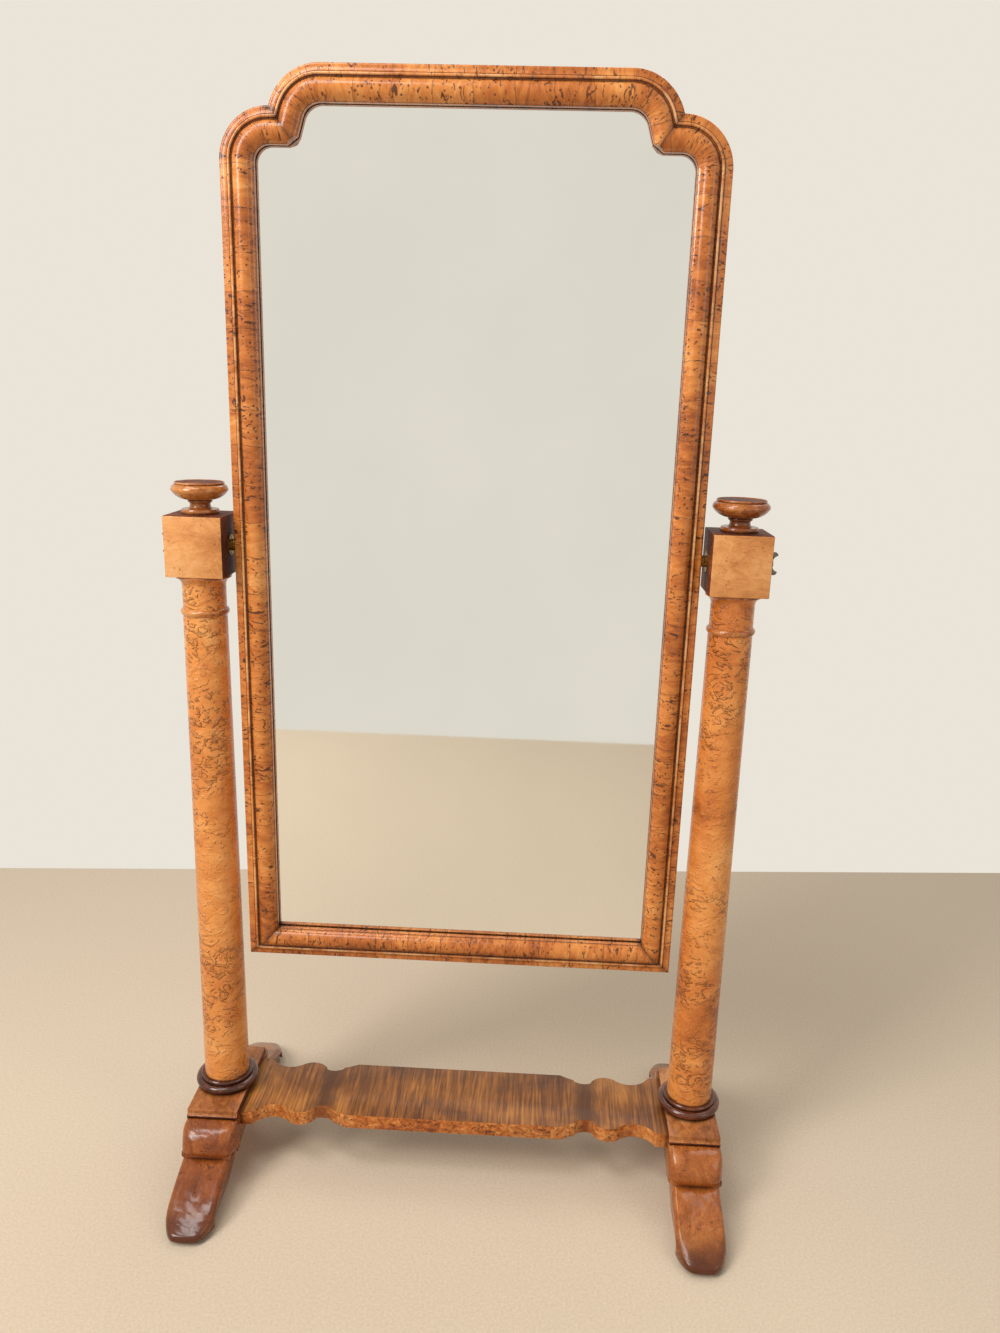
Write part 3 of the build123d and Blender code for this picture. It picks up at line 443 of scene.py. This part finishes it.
def slot_screws(node, axis):
    """Axis is the screws' own direction: 0 for X, 1 for Y. The widest flat faces are the heads."""
    piece = copy_of(node)
    bpy.ops.object.mode_set(mode="OBJECT")
    other = 1 - axis
    heads = []
    for face in piece.data.polygons:
        if abs(face.normal[axis]) < 0.99:
            continue
        c = face.center
        near = next((h for h in heads if h["way"] == round(face.normal[axis])
                     and math.hypot(c[other] - h["sum"][other] / h["n"],
                                    c.z - h["sum"][2] / h["n"]) < SAME_HEAD
                     and abs(c[axis] - h["sum"][axis] / h["n"]) < SAME_PLANE), None)
        if near is None:
            near = {"way": round(face.normal[axis]), "sum": [0, 0, 0], "n": 0, "area": 0.0}
            heads.append(near)
        near["sum"] = [a + b for a, b in zip(near["sum"], c)]
        near["n"] += 1
        near["area"] += face.area
    widest = max(h["area"] for h in heads)
    heads = [h for h in heads if h["area"] > 0.6 * widest]
    bars = []
    for number, head in enumerate(heads):
        clear_selection()
        size = [BAR_LENGTH] * 3
        size[axis], size[2] = BAR_DEPTH, BAR_WIDTH
        bpy.ops.mesh.primitive_cube_add(size=1, location=[v / head["n"] for v in head["sum"]], scale=size)
        bars.append(bpy.context.object)
        bars[-1].rotation_euler[axis] = TURN_EACH * number
    clear_selection()
    for bar in bars:
        bar.select_set(True)
    bpy.context.view_layer.objects.active = bars[0]
    bpy.ops.object.join()
    saw = bpy.context.object
    bpy.ops.object.transform_apply(location=True, rotation=True, scale=True)
    clear_selection()
    piece.select_set(True)
    bpy.context.view_layer.objects.active = piece
    sawn = piece.modifiers.new("slots", "BOOLEAN")
    sawn.operation, sawn.object = "DIFFERENCE", saw
    bpy.ops.object.modifier_apply(modifier=sawn.name)
    bpy.data.objects.remove(saw)
    bpy.ops.object.mode_set(mode="EDIT")
    hand_over(piece, node, "screw_steel", 30)
    print(node, len(heads), "slots", len(piece.data.polygons), "faces")


slot_screws("board_screws", 1)
slot_screws("plate_screws", 0)

# %% [markdown]
# ## The looking-glass
# A looking-glass is silvered on its back, so the picture in it lies a few millimetres behind the lip of
# the frame and a dark line shows round it. The CAD glass is copied and its front is pushed back to the
# silver.

# %% The silvered glass
GLASS_THICKNESS = 3 * MM
front_of_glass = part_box("mirror_glass")[0].y
silver = copy_of("mirror_glass", "silvered_glass")
bpy.ops.mesh.select_all(action="DESELECT")
bpy.ops.object.mode_set(mode="OBJECT")
for corner in silver.data.vertices:
    corner.select = corner.co.y < front_of_glass + 0.5 * MM
bpy.ops.object.mode_set(mode="EDIT")
bpy.ops.transform.translate(value=(0, GLASS_THICKNESS, 0))
hand_over(silver, "mirror_glass", "mirror_glass", 20)
print("glass", [round(v, 4) for v in silver.dimensions])

# %% [markdown]
# ## Finishes
# Figured maple has three scales: broad cloudy changes of tone, ripples that cross the grain and small
# dark eyes with short cracks. Each comes from its own noise, and one ramp turns their sum into colour.
# The same values drive a low bump, because old polish follows the figure, and a clear coat is the polish.


# %% Node helpers
class Bench:
    """A material being built, with short words for its nodes."""

    def __init__(self, name):
        self.material = bpy.data.materials.new(name)
        self.material.use_nodes = True
        self.tree = self.material.node_tree
        self.tree.nodes.clear()
        self.shader = self.add("ShaderNodeBsdfPrincipled")
        output = self.add("ShaderNodeOutputMaterial")
        self.join(self.shader.outputs[0], output.inputs[0])

    def add(self, kind, **values):
        node = self.tree.nodes.new(kind)
        for key, value in values.items():
            setattr(node, key, value)
        return node

    def join(self, a, b):
        self.tree.links.new(a, b)

    def put(self, socket, value):
        if hasattr(value, "node"):
            self.join(value, socket)
        else:
            socket.default_value = value

    def where(self, scale=(1, 1, 1), veneer=False, centre=(0, 0, 0), turn=(0, 0, 0)):
        """Object coordinates, or the veneer map, stretched by a mapping."""
        place = self.add("ShaderNodeTexCoord")
        mapping = self.add("ShaderNodeMapping")
        self.join(place.outputs["UV" if veneer else "Object"], mapping.inputs["Vector"])
        mapping.inputs["Scale"].default_value = scale
        mapping.inputs["Location"].default_value = centre
        mapping.inputs["Rotation"].default_value = turn
        return mapping.outputs[0]

    def noise(self, at, scale, detail=4.0, rough=0.55, bend=0.0):
        node = self.add("ShaderNodeTexNoise")
        self.put(node.inputs["Vector"], at)
        for key, value in (("Scale", scale), ("Detail", detail), ("Roughness", rough), ("Distortion", bend)):
            node.inputs[key].default_value = value
        return node.outputs["Fac"]

    def cells(self, at, scale, output="Distance"):
        node = self.add("ShaderNodeTexVoronoi")
        self.put(node.inputs["Vector"], at)
        node.inputs["Scale"].default_value = scale
        return node.outputs[output]

    def sum(self, how, a, b=0.0):
        node = self.add("ShaderNodeMath", operation=how)
        self.put(node.inputs[0], a)
        self.put(node.inputs[1], b)
        return node.outputs[0]

    def span(self, value, low, high, to_low=0.0, to_high=1.0):
        node = self.add("ShaderNodeMapRange", interpolation_type="SMOOTHSTEP")
        for key, v in (("Value", value), ("From Min", low), ("From Max", high),
                       ("To Min", to_low), ("To Max", to_high)):
            self.put(node.inputs[key], v)
        return node.outputs[0]

    def tones(self, value, stops):
        node = self.add("ShaderNodeValToRGB")
        ramp = node.color_ramp
        while len(ramp.elements) < len(stops):
            ramp.elements.new(0.5)
        for element, (at, colour) in zip(ramp.elements, stops):
            element.position, element.color = at, paint(colour)
        self.put(node.inputs[0], value)
        return node.outputs[0]

    def blend(self, amount, a, b, how="MIX"):
        node = self.add("ShaderNodeMix", data_type="RGBA", blend_type=how)
        for socket, value in ((node.inputs[0], amount), (node.inputs[6], a), (node.inputs[7], b)):
            self.put(socket, value)
        return node.outputs[2]

    def relief(self, height, strength, depth):
        node = self.add("ShaderNodeBump")
        node.inputs["Strength"].default_value = strength
        node.inputs["Distance"].default_value = depth
        self.join(height, node.inputs["Height"])
        self.join(node.outputs[0], self.shader.inputs["Normal"])

    def set(self, **values):
        for key, value in values.items():
            self.put(self.shader.inputs[key.replace("_", " ")], value)
        return self.material


def paint(colour):
    """An sRGB colour of 0 to 255, as the linear one that nodes use."""
    return tuple(c / 12.92 if c <= 0.04045 else ((c + 0.055) / 1.055) ** 2.4
                 for c in (v / 255 for v in colour)) + (1.0,)


# %% Figured maple
FINE = 0.16


def maple(name, tones, veneer=False, ripple=0.35, eyes=1.0, stretch=(1, 1, 2.6), relief=0.6, rough=0.3,
          coat=0.18, cloud=9.0, contrast=0.15, blister=0.5, grain=58.0, marked=0.50, curl=95.0,
          cracked=0.61, depth=1.8, darker_at=None):
    """Tones are four colours from dark to light, and the colour of the marks. Cloud, grain and curl are
    the scales of the tone, the ripple and the cracks. Marked and cracked say how rare the marks are."""
    wood = Bench(name)
    at = wood.where(veneer=veneer)
    shade = wood.noise(at, cloud, 3.0, 0.5, 0.4)
    if veneer:
        at, joint, shade, across = leaves(wood, at, shade)
    pull = wood.add("ShaderNodeVectorMath", operation="MULTIPLY")
    wood.join(at, pull.inputs[0])
    pull.inputs[1].default_value = stretch
    drawn = pull.outputs[0]
    flame = wood.noise(drawn, grain, 3.0, 0.55, 1.6)
    fine = wood.noise(drawn, 260.0, 4.0, 0.65, 0.6)
    tone = wood.sum("ADD", wood.sum("MULTIPLY", shade, 0.5),
                    wood.sum("ADD", wood.sum("MULTIPLY", flame, ripple), wood.sum("MULTIPLY", fine, FINE)))
    middle = 0.5 * (0.5 + ripple + FINE)
    colour = wood.tones(wood.span(tone, middle - contrast, middle + contrast),
                        [(0.0, tones[0]), (0.36, tones[1]), (0.66, tones[2]), (1.0, tones[3])])
    patch = wood.span(wood.noise(at, 24.0, 2.0), marked - 0.04, marked + 0.08)
    spot = wood.cells(at, 118.0)
    eye = wood.sum("MULTIPLY", wood.span(spot, 0.10, 0.28, 1.0, 0.0), patch)
    wave = wood.noise(drawn, curl, 2.0, 0.5, 2.6)
    crack = wood.sum("MULTIPLY", wood.span(wave, cracked, cracked + 0.05), patch)
    marks = wood.sum("MULTIPLY", wood.sum("MAXIMUM", eye, crack), eyes)
    colour = wood.blend(wood.sum("MULTIPLY", marks, 0.75), colour, paint(tones[4]))
    if veneer:
        colour = wood.blend(wood.sum("MULTIPLY", joint, 0.5), colour, paint(tones[4]))
        colour = age_moulding(wood, colour, across, tones)
    # Corners and recesses are darkened by ambient occlusion: painted shade.
    colour = wood.blend(painted_corner_shade(wood), colour, paint(tones[4]))
    raised = wood.span(wood.noise(at, 8.0, 1.0), 0.44, 0.60, 0.12, 1.0)
    swell = wood.sum("MULTIPLY", wood.sum("MULTIPLY", wood.span(wave, 0.52, 0.66), blister), raised)
    raised_figure = wood.sum("ADD", wood.sum("ADD", flame, swell), wood.sum("MULTIPLY", fine, 0.1))
    height = wood.sum("SUBTRACT", raised_figure, wood.sum("MULTIPLY", marks, 0.6))
    if darker_at:
        # Darker at one distance from the middle, such as the toe tips and the shelf's notches.
        colour = darken_band(wood, colour, tones, *darker_at)
    wood.relief(height, relief, depth * MM)
    wood.join(colour, wood.shader.inputs["Base Color"])
    wood.join(wood.span(fine, 0.2, 0.8, rough - 0.06, rough + 0.14), wood.shader.inputs["Roughness"])
    return wood.set(Coat_Weight=coat, Coat_Roughness=0.12, Coat_IOR=1.5, Specular_IOR_Level=0.28)


# %% [markdown]
# ### Painted shade in corners
# Every corner that light can't reach is darkened: painted shade. Ambient occlusion measures how closed in
# a point is, whatever the view, so it finds those corners.


# %% Painted shade in corners
def painted_corner_shade(wood, reach=12.0, much=0.7):
    """How much a corner is darkened by painted shade, from 0 in the open."""
    shelter = wood.add("ShaderNodeAmbientOcclusion", samples=8)
    shelter.inputs["Distance"].default_value = reach * MM
    return wood.span(shelter.outputs["AO"], 0.35, 0.85, much, 0.0)


# %% [markdown]
# ### Stains from handling
# The shelf is darkest at its notches and the toes at their tips. A smooth band round one distance from the
# middle darkens the wood there, broken up by a cloudy noise.


# %% Darker band
def darken_band(wood, colour, tones, axis, place, reach, much):
    """Darken the wood at one distance from the middle along an axis."""
    split = wood.add("ShaderNodeSeparateXYZ")
    wood.join(wood.where(), split.inputs[0])
    away = wood.sum("ABSOLUTE", wood.sum("SUBTRACT", wood.sum("ABSOLUTE", split.outputs[axis]), place * MM))
    cloudy = wood.sum("SUBTRACT", wood.noise(wood.where(), 30.0), 0.5)
    ragged = wood.sum("ADD", away, wood.sum("MULTIPLY", cloudy, -reach * MM))
    return wood.blend(wood.span(ragged, 0.0, reach * MM, much, 0.0), colour, paint(tones[0]))


# %% [markdown]
# ### Leaves of veneer
# The moulding is faced with short leaves of veneer whose grain crosses the run. The map's U is counted
# off in leaves, each leaf gets its own tone and its own stretch of figure, and a thin dark line marks
# each joint.


# %% Leaves
def leaves(wood, at, shade, leaf=0.052):
    """Place, joint and tone of the leaf at a point, and its V. Leaf is a leaf's width in metres."""
    split = wood.add("ShaderNodeSeparateXYZ")
    wood.join(at, split.inputs[0])
    wander = wood.noise(at, 14.0, 1.0)
    along = wood.sum("ADD", wood.sum("DIVIDE", split.outputs[0], leaf), wood.sum("MULTIPLY", wander, 0.35))
    dice = wood.add("ShaderNodeTexWhiteNoise", noise_dimensions="1D")
    wood.join(wood.sum("FLOOR", along), dice.inputs["W"])
    joint = wood.span(wood.sum("PINGPONG", along, 0.5), 0.004, 0.018, 1.0, 0.0)
    push = wood.add("ShaderNodeCombineXYZ")
    wood.join(wood.sum("MULTIPLY", dice.outputs[0], 7.0), push.inputs[2])
    shift = wood.add("ShaderNodeVectorMath", operation="ADD")
    wood.join(at, shift.inputs[0])
    wood.join(push.outputs[0], shift.inputs[1])
    shade = wood.sum("ADD", wood.sum("MULTIPLY", shade, 0.86), wood.sum("MULTIPLY", dice.outputs[0], 0.14))
    return shift.outputs[0], joint, shade, split.outputs[1]


# %% [markdown]
# ### Painted highlight and shade in the moulding
# The bead is painted with a pale highlight, broken up by a noise, and the quirks on both sides of the bead,
# the sight edge and the outer edge are painted with shade. V says where a point lies on the section. The
# mitres have opened a little and gone dark, so the distance from each mitre's plane darkens the wood there.


# %% Painted highlight, shade and mitres
# The colour of the painted highlight on the bead.
BEAD_HIGHLIGHT = (236, 192, 138)
HALF_RIGHT_ANGLE = 0.7071


def v_at(corner):
    """The map's V at one corner of the section."""
    i = section.index(corner)
    return MM * sum(math.dist(a, b) for a, b in zip(section[:i], section[1:i + 1]))


def age_moulding(wood, colour, across, tones):
    """Painted highlight on the bead, painted shade in the quirks and at the edges, and dark mitres."""
    bead = 0.5 * (v_at(BEAD_OUTSIDE) + v_at(BEAD_INSIDE)) - 0.5 * MM
    from_bead = wood.sum("ABSOLUTE", wood.sum("SUBTRACT", across, bead))
    # A painted highlight along the bead, broken up by a noise.
    bead_sheen = wood.span(from_bead, 1.2 * MM, 2.6 * MM, 1.0, 0.0)
    patchy = wood.span(wood.noise(wood.where(), 30.0, 3.0), 0.42, 0.60, 0.12, 0.6)
    colour = wood.blend(wood.sum("MULTIPLY", bead_sheen, patchy), colour, paint(BEAD_HIGHLIGHT))
    # Painted shade in the quirks beside the bead, at the sight edge and along the outer edge.
    groove_shade = 0.0
    for corner, wide, much in ((BEAD_OUTSIDE, 0.8, 0.25), (BEAD_INSIDE, 1.1, 0.3), (SIGHT_EDGE, 1.2, 0.8),
                               (OUTER_EDGE, 1.6, 0.4)):
        far = wood.sum("ABSOLUTE", wood.sum("SUBTRACT", across, v_at(corner)))
        groove_shade = wood.sum("MAXIMUM", wood.span(far, 0.3 * wide * MM, wide * MM, much, 0.0), groove_shade)
    split = wood.add("ShaderNodeSeparateXYZ")
    wood.join(wood.where(), split.inputs[0])
    side, height = wood.sum("ABSOLUTE", split.outputs[0]), split.outputs[2]
    cusp = wood.sum("ADD", wood.sum("MULTIPLY", wood.sum("SUBTRACT", side, CUSP.x * MM), -MITRE.z),
                    wood.sum("MULTIPLY", wood.sum("SUBTRACT", height, CUSP.z * MM), MITRE.x))
    from_edge = wood.sum("SUBTRACT", (HALF_WIDTH + FOOT_Z) * MM, side)
    corner = wood.sum("MULTIPLY", wood.sum("SUBTRACT", from_edge, height), HALF_RIGHT_ANGLE)
    near = wood.sum("MINIMUM", wood.sum("ABSOLUTE", cusp), wood.sum("ABSOLUTE", corner))
    opened = wood.sum("MAXIMUM", wood.span(near, 0.0, 8 * MM, 0.5, 0.0),
                      wood.span(near, 0.3 * MM, 0.9 * MM, 0.9, 0.0))
    return wood.blend(wood.sum("MAXIMUM", opened, groove_shade), colour, paint(tones[4]))


# %% The woods of the piece
AMBER = [(122, 58, 20), (182, 102, 42), (208, 130, 62), (232, 168, 100), (62, 27, 9)]
AMBER_COLUMN = [(150, 78, 28), (204, 120, 54), (226, 148, 76), (244, 180, 108), (84, 38, 14)]
GOLD = [(176, 108, 54), (208, 140, 80), (222, 156, 94), (234, 178, 120), (112, 58, 26)]
DARK = [(52, 20, 9), (84, 38, 18), (114, 56, 28), (148, 82, 44), (26, 11, 6)]
RUSSET = [(84, 38, 12), (132, 66, 24), (164, 92, 38), (200, 128, 64), (38, 17, 8)]
UMBER = [(76, 40, 13), (120, 70, 27), (148, 92, 38), (182, 120, 56), (48, 25, 12)]
PINE = [(142, 98, 58), (168, 124, 78), (182, 138, 90), (196, 154, 106), (104, 66, 36)]
CHESTNUT = [(104, 50, 19), (150, 82, 36), (184, 114, 56), (214, 150, 86), (56, 26, 11)]
TAWNY = [(112, 58, 26), (158, 94, 46), (184, 118, 64), (210, 148, 90), (62, 30, 14)]
finishes = {
    "frame_wood": maple("frame_maple", AMBER, veneer=True, stretch=(1, 0.35, 1), ripple=0.36, relief=0.24,
                        marked=0.41, contrast=0.25, rough=0.26, coat=0.28, cracked=0.595, eyes=1.15),
    "column_wood": maple("column_maple", AMBER_COLUMN, ripple=0.24, relief=0.9, cloud=5.0, blister=2.2,
                         depth=3.0, contrast=0.21, grain=16.0, stretch=(1, 1, 1.5), eyes=0.55, marked=0.56,
                         curl=40.0, rough=0.24, coat=0.3, cracked=0.645),
    "block_wood": maple("block_maple", GOLD, ripple=0.24, relief=0.25, eyes=0.7, stretch=(1, 1, 1.8),
                        contrast=0.17, grain=40.0, marked=0.52),
    "ring_wood": maple("dark_turned_maple", DARK, ripple=0.30, relief=0.2, eyes=0.4, rough=0.18, coat=0.6),
    "foot_wood": maple("foot_maple", RUSSET, ripple=0.26, relief=0.1, eyes=0.9, rough=0.2, coat=0.34,
                       stretch=(1.3, 0.6, 1.3), blister=0.2, grain=26.0, cloud=7.0, contrast=0.2,
                       darker_at=(1, 240, 64, 1.0)),
    "stretcher_wood": maple("stretcher_maple", UMBER, ripple=0.42, relief=0.3, eyes=0.35, coat=0.1,
                            stretch=(2.6, 0.12, 1.4), blister=0.2, cloud=8.0, rough=0.36, contrast=0.16,
                            darker_at=(0, 216, 34, 0.9)),
    "board_wood": maple("pine", PINE, ripple=0.6, relief=0.2, eyes=0.0, rough=0.55, coat=0.0,
                        stretch=(3.2, 1, 0.06), blister=0.0, cloud=2.0, contrast=0.26),
}
finial_maple = maple("finial_maple", CHESTNUT, ripple=0.28, relief=0.2, eyes=0.5, rough=0.18, coat=0.35)
cap_maple = maple("cap_maple", TAWNY, ripple=0.3, relief=0.25, eyes=0.6, stretch=(1, 0.5, 1), contrast=0.18,
                  coat=0.1)
edge_maple = maple("shelf_edge_maple", AMBER, ripple=0.4, relief=0.8, eyes=1.0, blister=1.2, marked=0.42,
                   stretch=(1, 1, 1.2), darker_at=(0, 216, 26, 0.8))
# A darker, dull copy of the maple: painted shade for faces that the light misses.
painted_shade_maple = maple("shaded_maple", DARK, ripple=0.3, relief=0.2, eyes=0.4, rough=0.6, coat=0.0)
print(len(finishes) + 4, "woods")


# %% [markdown]
# ## Metals and silvering
# Metal takes its look from what it mirrors and from how its polish has worn. A cloudy noise changes the
# roughness and slightly the colour, so old brass is dull in patches. The silvering is close to perfect,
# with a trace of haze.

# %% Metals
def metal(name, bright, dull, rough):
    work = Bench(name)
    patchy = work.noise(work.where(), 160.0, 5.0, 0.6)
    work.join(work.tones(patchy, [(0.3, dull), (0.7, bright)]), work.shader.inputs["Base Color"])
    work.join(work.span(patchy, 0.3, 0.7, rough + 0.15, rough), work.shader.inputs["Roughness"])
    work.relief(work.noise(work.where(), 900.0, 2.0), 0.1, 0.2 * MM)
    return work.set(Metallic=1.0)


finishes["brass"] = metal("old_brass", (168, 128, 66), (92, 62, 28), 0.3)
finishes["thumbscrew_metal"] = metal("nickel", (128, 124, 116), (66, 62, 56), 0.3)
finishes["screw_steel"] = metal("screw_steel", (112, 100, 84), (66, 58, 48), 0.34)
glass = Bench("silvering")
haze = glass.noise(glass.where(), 3.0, 3.0)
silver_tone = glass.tones(haze, [(0.3, (236, 238, 236)), (0.7, (242, 243, 241))])
glass.join(silver_tone, glass.shader.inputs["Base Color"])
glass.join(glass.span(haze, 0.3, 0.7, 0.012, 0.03), glass.shader.inputs["Roughness"])
finishes["mirror_glass"] = glass.set(Metallic=1.0)

# %% [markdown]
# ## Who wears what
# Pieces made here take the finish of their slot. The finials and cap blocks are paler than their slot's
# other pieces, so they have their own. CAD nodes that still show are chosen by a word in their names. Some
# pieces need a second finish on part of their faces, such as the sawn edge of the shelf. A darker, dull
# copy of the maple is painted shade on the tops and inner sides of the head blocks, the tops of the
# finials and the lower faces of the cap blocks.

# %% Give every piece its finish
rules = (("screws", "screw_steel"), ("plate", "brass"), ("fork", "brass"), ("axle", "screw_steel"),
         ("wheel", "brass"), ("back_board", "board_wood"), ("glazing", "board_wood"))
own_finish = {"finial": finial_maple, "cap_block": cap_maple}


def wear(piece, material):
    piece.data.materials.clear()
    piece.data.materials.append(material)


for name, node in nodes.items():
    if not node.hide_render:
        wear(node, finishes[next(slot for word, slot in rules if word in name)])
for piece in list(bpy.data.objects):
    if piece.type == "MESH" and "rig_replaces" in piece:
        special = next((m for word, m in own_finish.items() if word in piece.name), None)
        wear(piece, special or finishes[piece["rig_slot"]])


def second_finish(name, material, chosen):
    """Give the faces that the rule chooses another finish."""
    piece = bpy.data.objects[f"finished_{name}"]
    piece.data.materials.append(material)
    for face in piece.data.polygons:
        if chosen(face.normal, face.center / MM):
            face.material_index = 1


second_finish("stretcher", edge_maple, lambda n, c: abs(n.z) < 0.6)
for side, word in ((-1, "left"), (1, "right")):
    # Painted shade: the top and inner side of each head block, the top of each finial and the lower faces of
    # each cap block take the darker copy.
    second_finish(f"{word}_head_block", painted_shade_maple, lambda n, c: n.z > 0.7 or n.x * side < -0.7)
    second_finish(f"{word}_finial", painted_shade_maple, lambda n, c: c.z > 1111.5 and n.z > 0.9)
    second_finish(f"{word}_column", finial_maple, lambda n, c: 918.5 < c.z < 929.5 or c.z > 974.9)
    second_finish(f"{word}_cap_block", painted_shade_maple, lambda n, c: c.z < 111 and n.z < 0.5)

# %% [markdown]
# ## Floor, light and camera
# The floor ends just behind the stand, and the pale wall beyond it is the world's own colour, which the
# camera, gloss and the looking-glass see. A large soft window lights from the front left, a weaker one from
# the right, and two skylights fill in from above and behind. The camera stands at the photograph's place,
# a little above the middle of the glass and looking down.

# %% Floor
FLOOR_MIDDLE, FLOOR_SIZE = (0, -0.54, 0), (9, 3.18, 1)
WALL_AT_MIDDLE, WALL_SLOPE = 1.045, 0.0911
clear_selection()
bpy.ops.mesh.primitive_plane_add(size=1, location=FLOOR_MIDDLE)
floor = begin(bpy.context.object, "floor")
bpy.ops.transform.resize(value=FLOOR_SIZE, center_override=FLOOR_MIDDLE)
bpy.ops.object.mode_set(mode="OBJECT")
for corner in floor.data.vertices:
    corner.select = corner.co.y > 0
    if corner.select:
        corner.co.y = WALL_AT_MIDDLE + WALL_SLOPE * corner.co.x - floor.location.y
bpy.ops.object.mode_set(mode="EDIT")
bpy.ops.mesh.select_all(action="SELECT")
bpy.ops.mesh.subdivide(number_cuts=6)
bpy.ops.object.mode_set(mode="OBJECT")
bpy.ops.object.transform_apply(location=True, rotation=True, scale=True)
carpet = Bench("pale_floor")
pile = carpet.noise(carpet.where(), 240.0, 3.0)
carpet.join(carpet.tones(pile, [(0.3, (207, 190, 167)), (0.7, (219, 203, 181))]),
            carpet.shader.inputs["Base Color"])
carpet.relief(pile, 0.2, 1 * MM)
floor.data.materials.append(carpet.set(Roughness=0.9, Specular_IOR_Level=0.1))

# %% World
WALL, DAYLIGHT, DAYLIGHT_STRENGTH = (234, 228, 216), (252, 248, 242), 0.42
world = bpy.data.worlds.new("room")
bpy.context.scene.world = world
world.use_nodes = True
tree = world.node_tree
tree.nodes.clear()
seen, lit = tree.nodes.new("ShaderNodeBackground"), tree.nodes.new("ShaderNodeBackground")
seen.inputs[0].default_value, seen.inputs[1].default_value = paint(WALL), 1.0
lit.inputs[0].default_value, lit.inputs[1].default_value = paint(DAYLIGHT), DAYLIGHT_STRENGTH
path = tree.nodes.new("ShaderNodeLightPath")
either = tree.nodes.new("ShaderNodeMath")
either.operation = "MAXIMUM"
all_three = tree.nodes.new("ShaderNodeMath")
all_three.operation = "MAXIMUM"
tree.links.new(path.outputs["Is Camera Ray"], either.inputs[0])
tree.links.new(path.outputs["Is Glossy Ray"], either.inputs[1])
tree.links.new(either.outputs[0], all_three.inputs[0])
tree.links.new(path.outputs["Is Transmission Ray"], all_three.inputs[1])
choose, out = tree.nodes.new("ShaderNodeMixShader"), tree.nodes.new("ShaderNodeOutputWorld")
tree.links.new(all_three.outputs[0], choose.inputs[0])
tree.links.new(lit.outputs[0], choose.inputs[1])
tree.links.new(seen.outputs[0], choose.inputs[2])
tree.links.new(choose.outputs[0], out.inputs[0])
print("world shows", WALL, "and lights at", DAYLIGHT_STRENGTH)


# %% Lamps
def window(name, place, aim, size, power, colour):
    """A soft rectangle of light, which the camera itself doesn't see."""
    lamp = bpy.data.lights.new(name, "AREA")
    lamp.shape, lamp.size, lamp.size_y = "RECTANGLE", size[0], size[1]
    lamp.energy, lamp.color = power, paint(colour)[:3]
    thing = bpy.data.objects.new(name, lamp)
    bpy.context.scene.collection.objects.link(thing)
    thing.location = place
    thing.rotation_euler = (Vector(aim) - Vector(place)).to_track_quat("-Z", "Y").to_euler()
    thing.visible_camera = False


window("window_left", (-2.2, -2.0, 2.6), (0, 0, 0.7), (1.2, 1.6), 84, (255, 250, 244))
window("skylight", (-0.9, -0.9, 3.3), (-0.2, -0.2, 0), (1.3, 0.8), 30, (248, 247, 245))
window("window_right", (2.6, -1.6, 1.8), (0, 0, 0.7), (1.0, 1.6), 10, (255, 248, 238))
window("skylight_behind", (0.6, 1.3, 2.6), (0.2, 0.9, 0), (2.6, 0.8), 16, (250, 247, 243))

# %% Camera
PITCH, YAW, ROLL = 0.2647, -0.0373, 0.0294
CAMERA_AT, SENSOR, LENS = (0.1072, -1.4567, 1.250), 36, 27.44
ahead = Vector((math.sin(YAW), math.cos(YAW), 0))
right = Vector((math.cos(YAW), -math.sin(YAW), 0))
look = ahead * math.cos(PITCH) - Vector((0, 0, math.sin(PITCH)))
up = ahead * math.sin(PITCH) + Vector((0, 0, math.cos(PITCH)))
across = right * math.cos(ROLL) + up * math.sin(ROLL)
upward = up * math.cos(ROLL) - right * math.sin(ROLL)
camera = bpy.data.objects.new("camera", bpy.data.cameras.new("camera"))
bpy.context.scene.collection.objects.link(camera)
camera.data.sensor_width, camera.data.lens = SENSOR, LENS
turned = Matrix((across, upward, -look)).transposed().to_4x4()
camera.matrix_world = Matrix.Translation(CAMERA_AT) @ turned
bpy.context.scene.camera = camera
bpy.context.scene.view_settings.view_transform = "Standard"
print("camera at", CAMERA_AT, "lens", LENS)
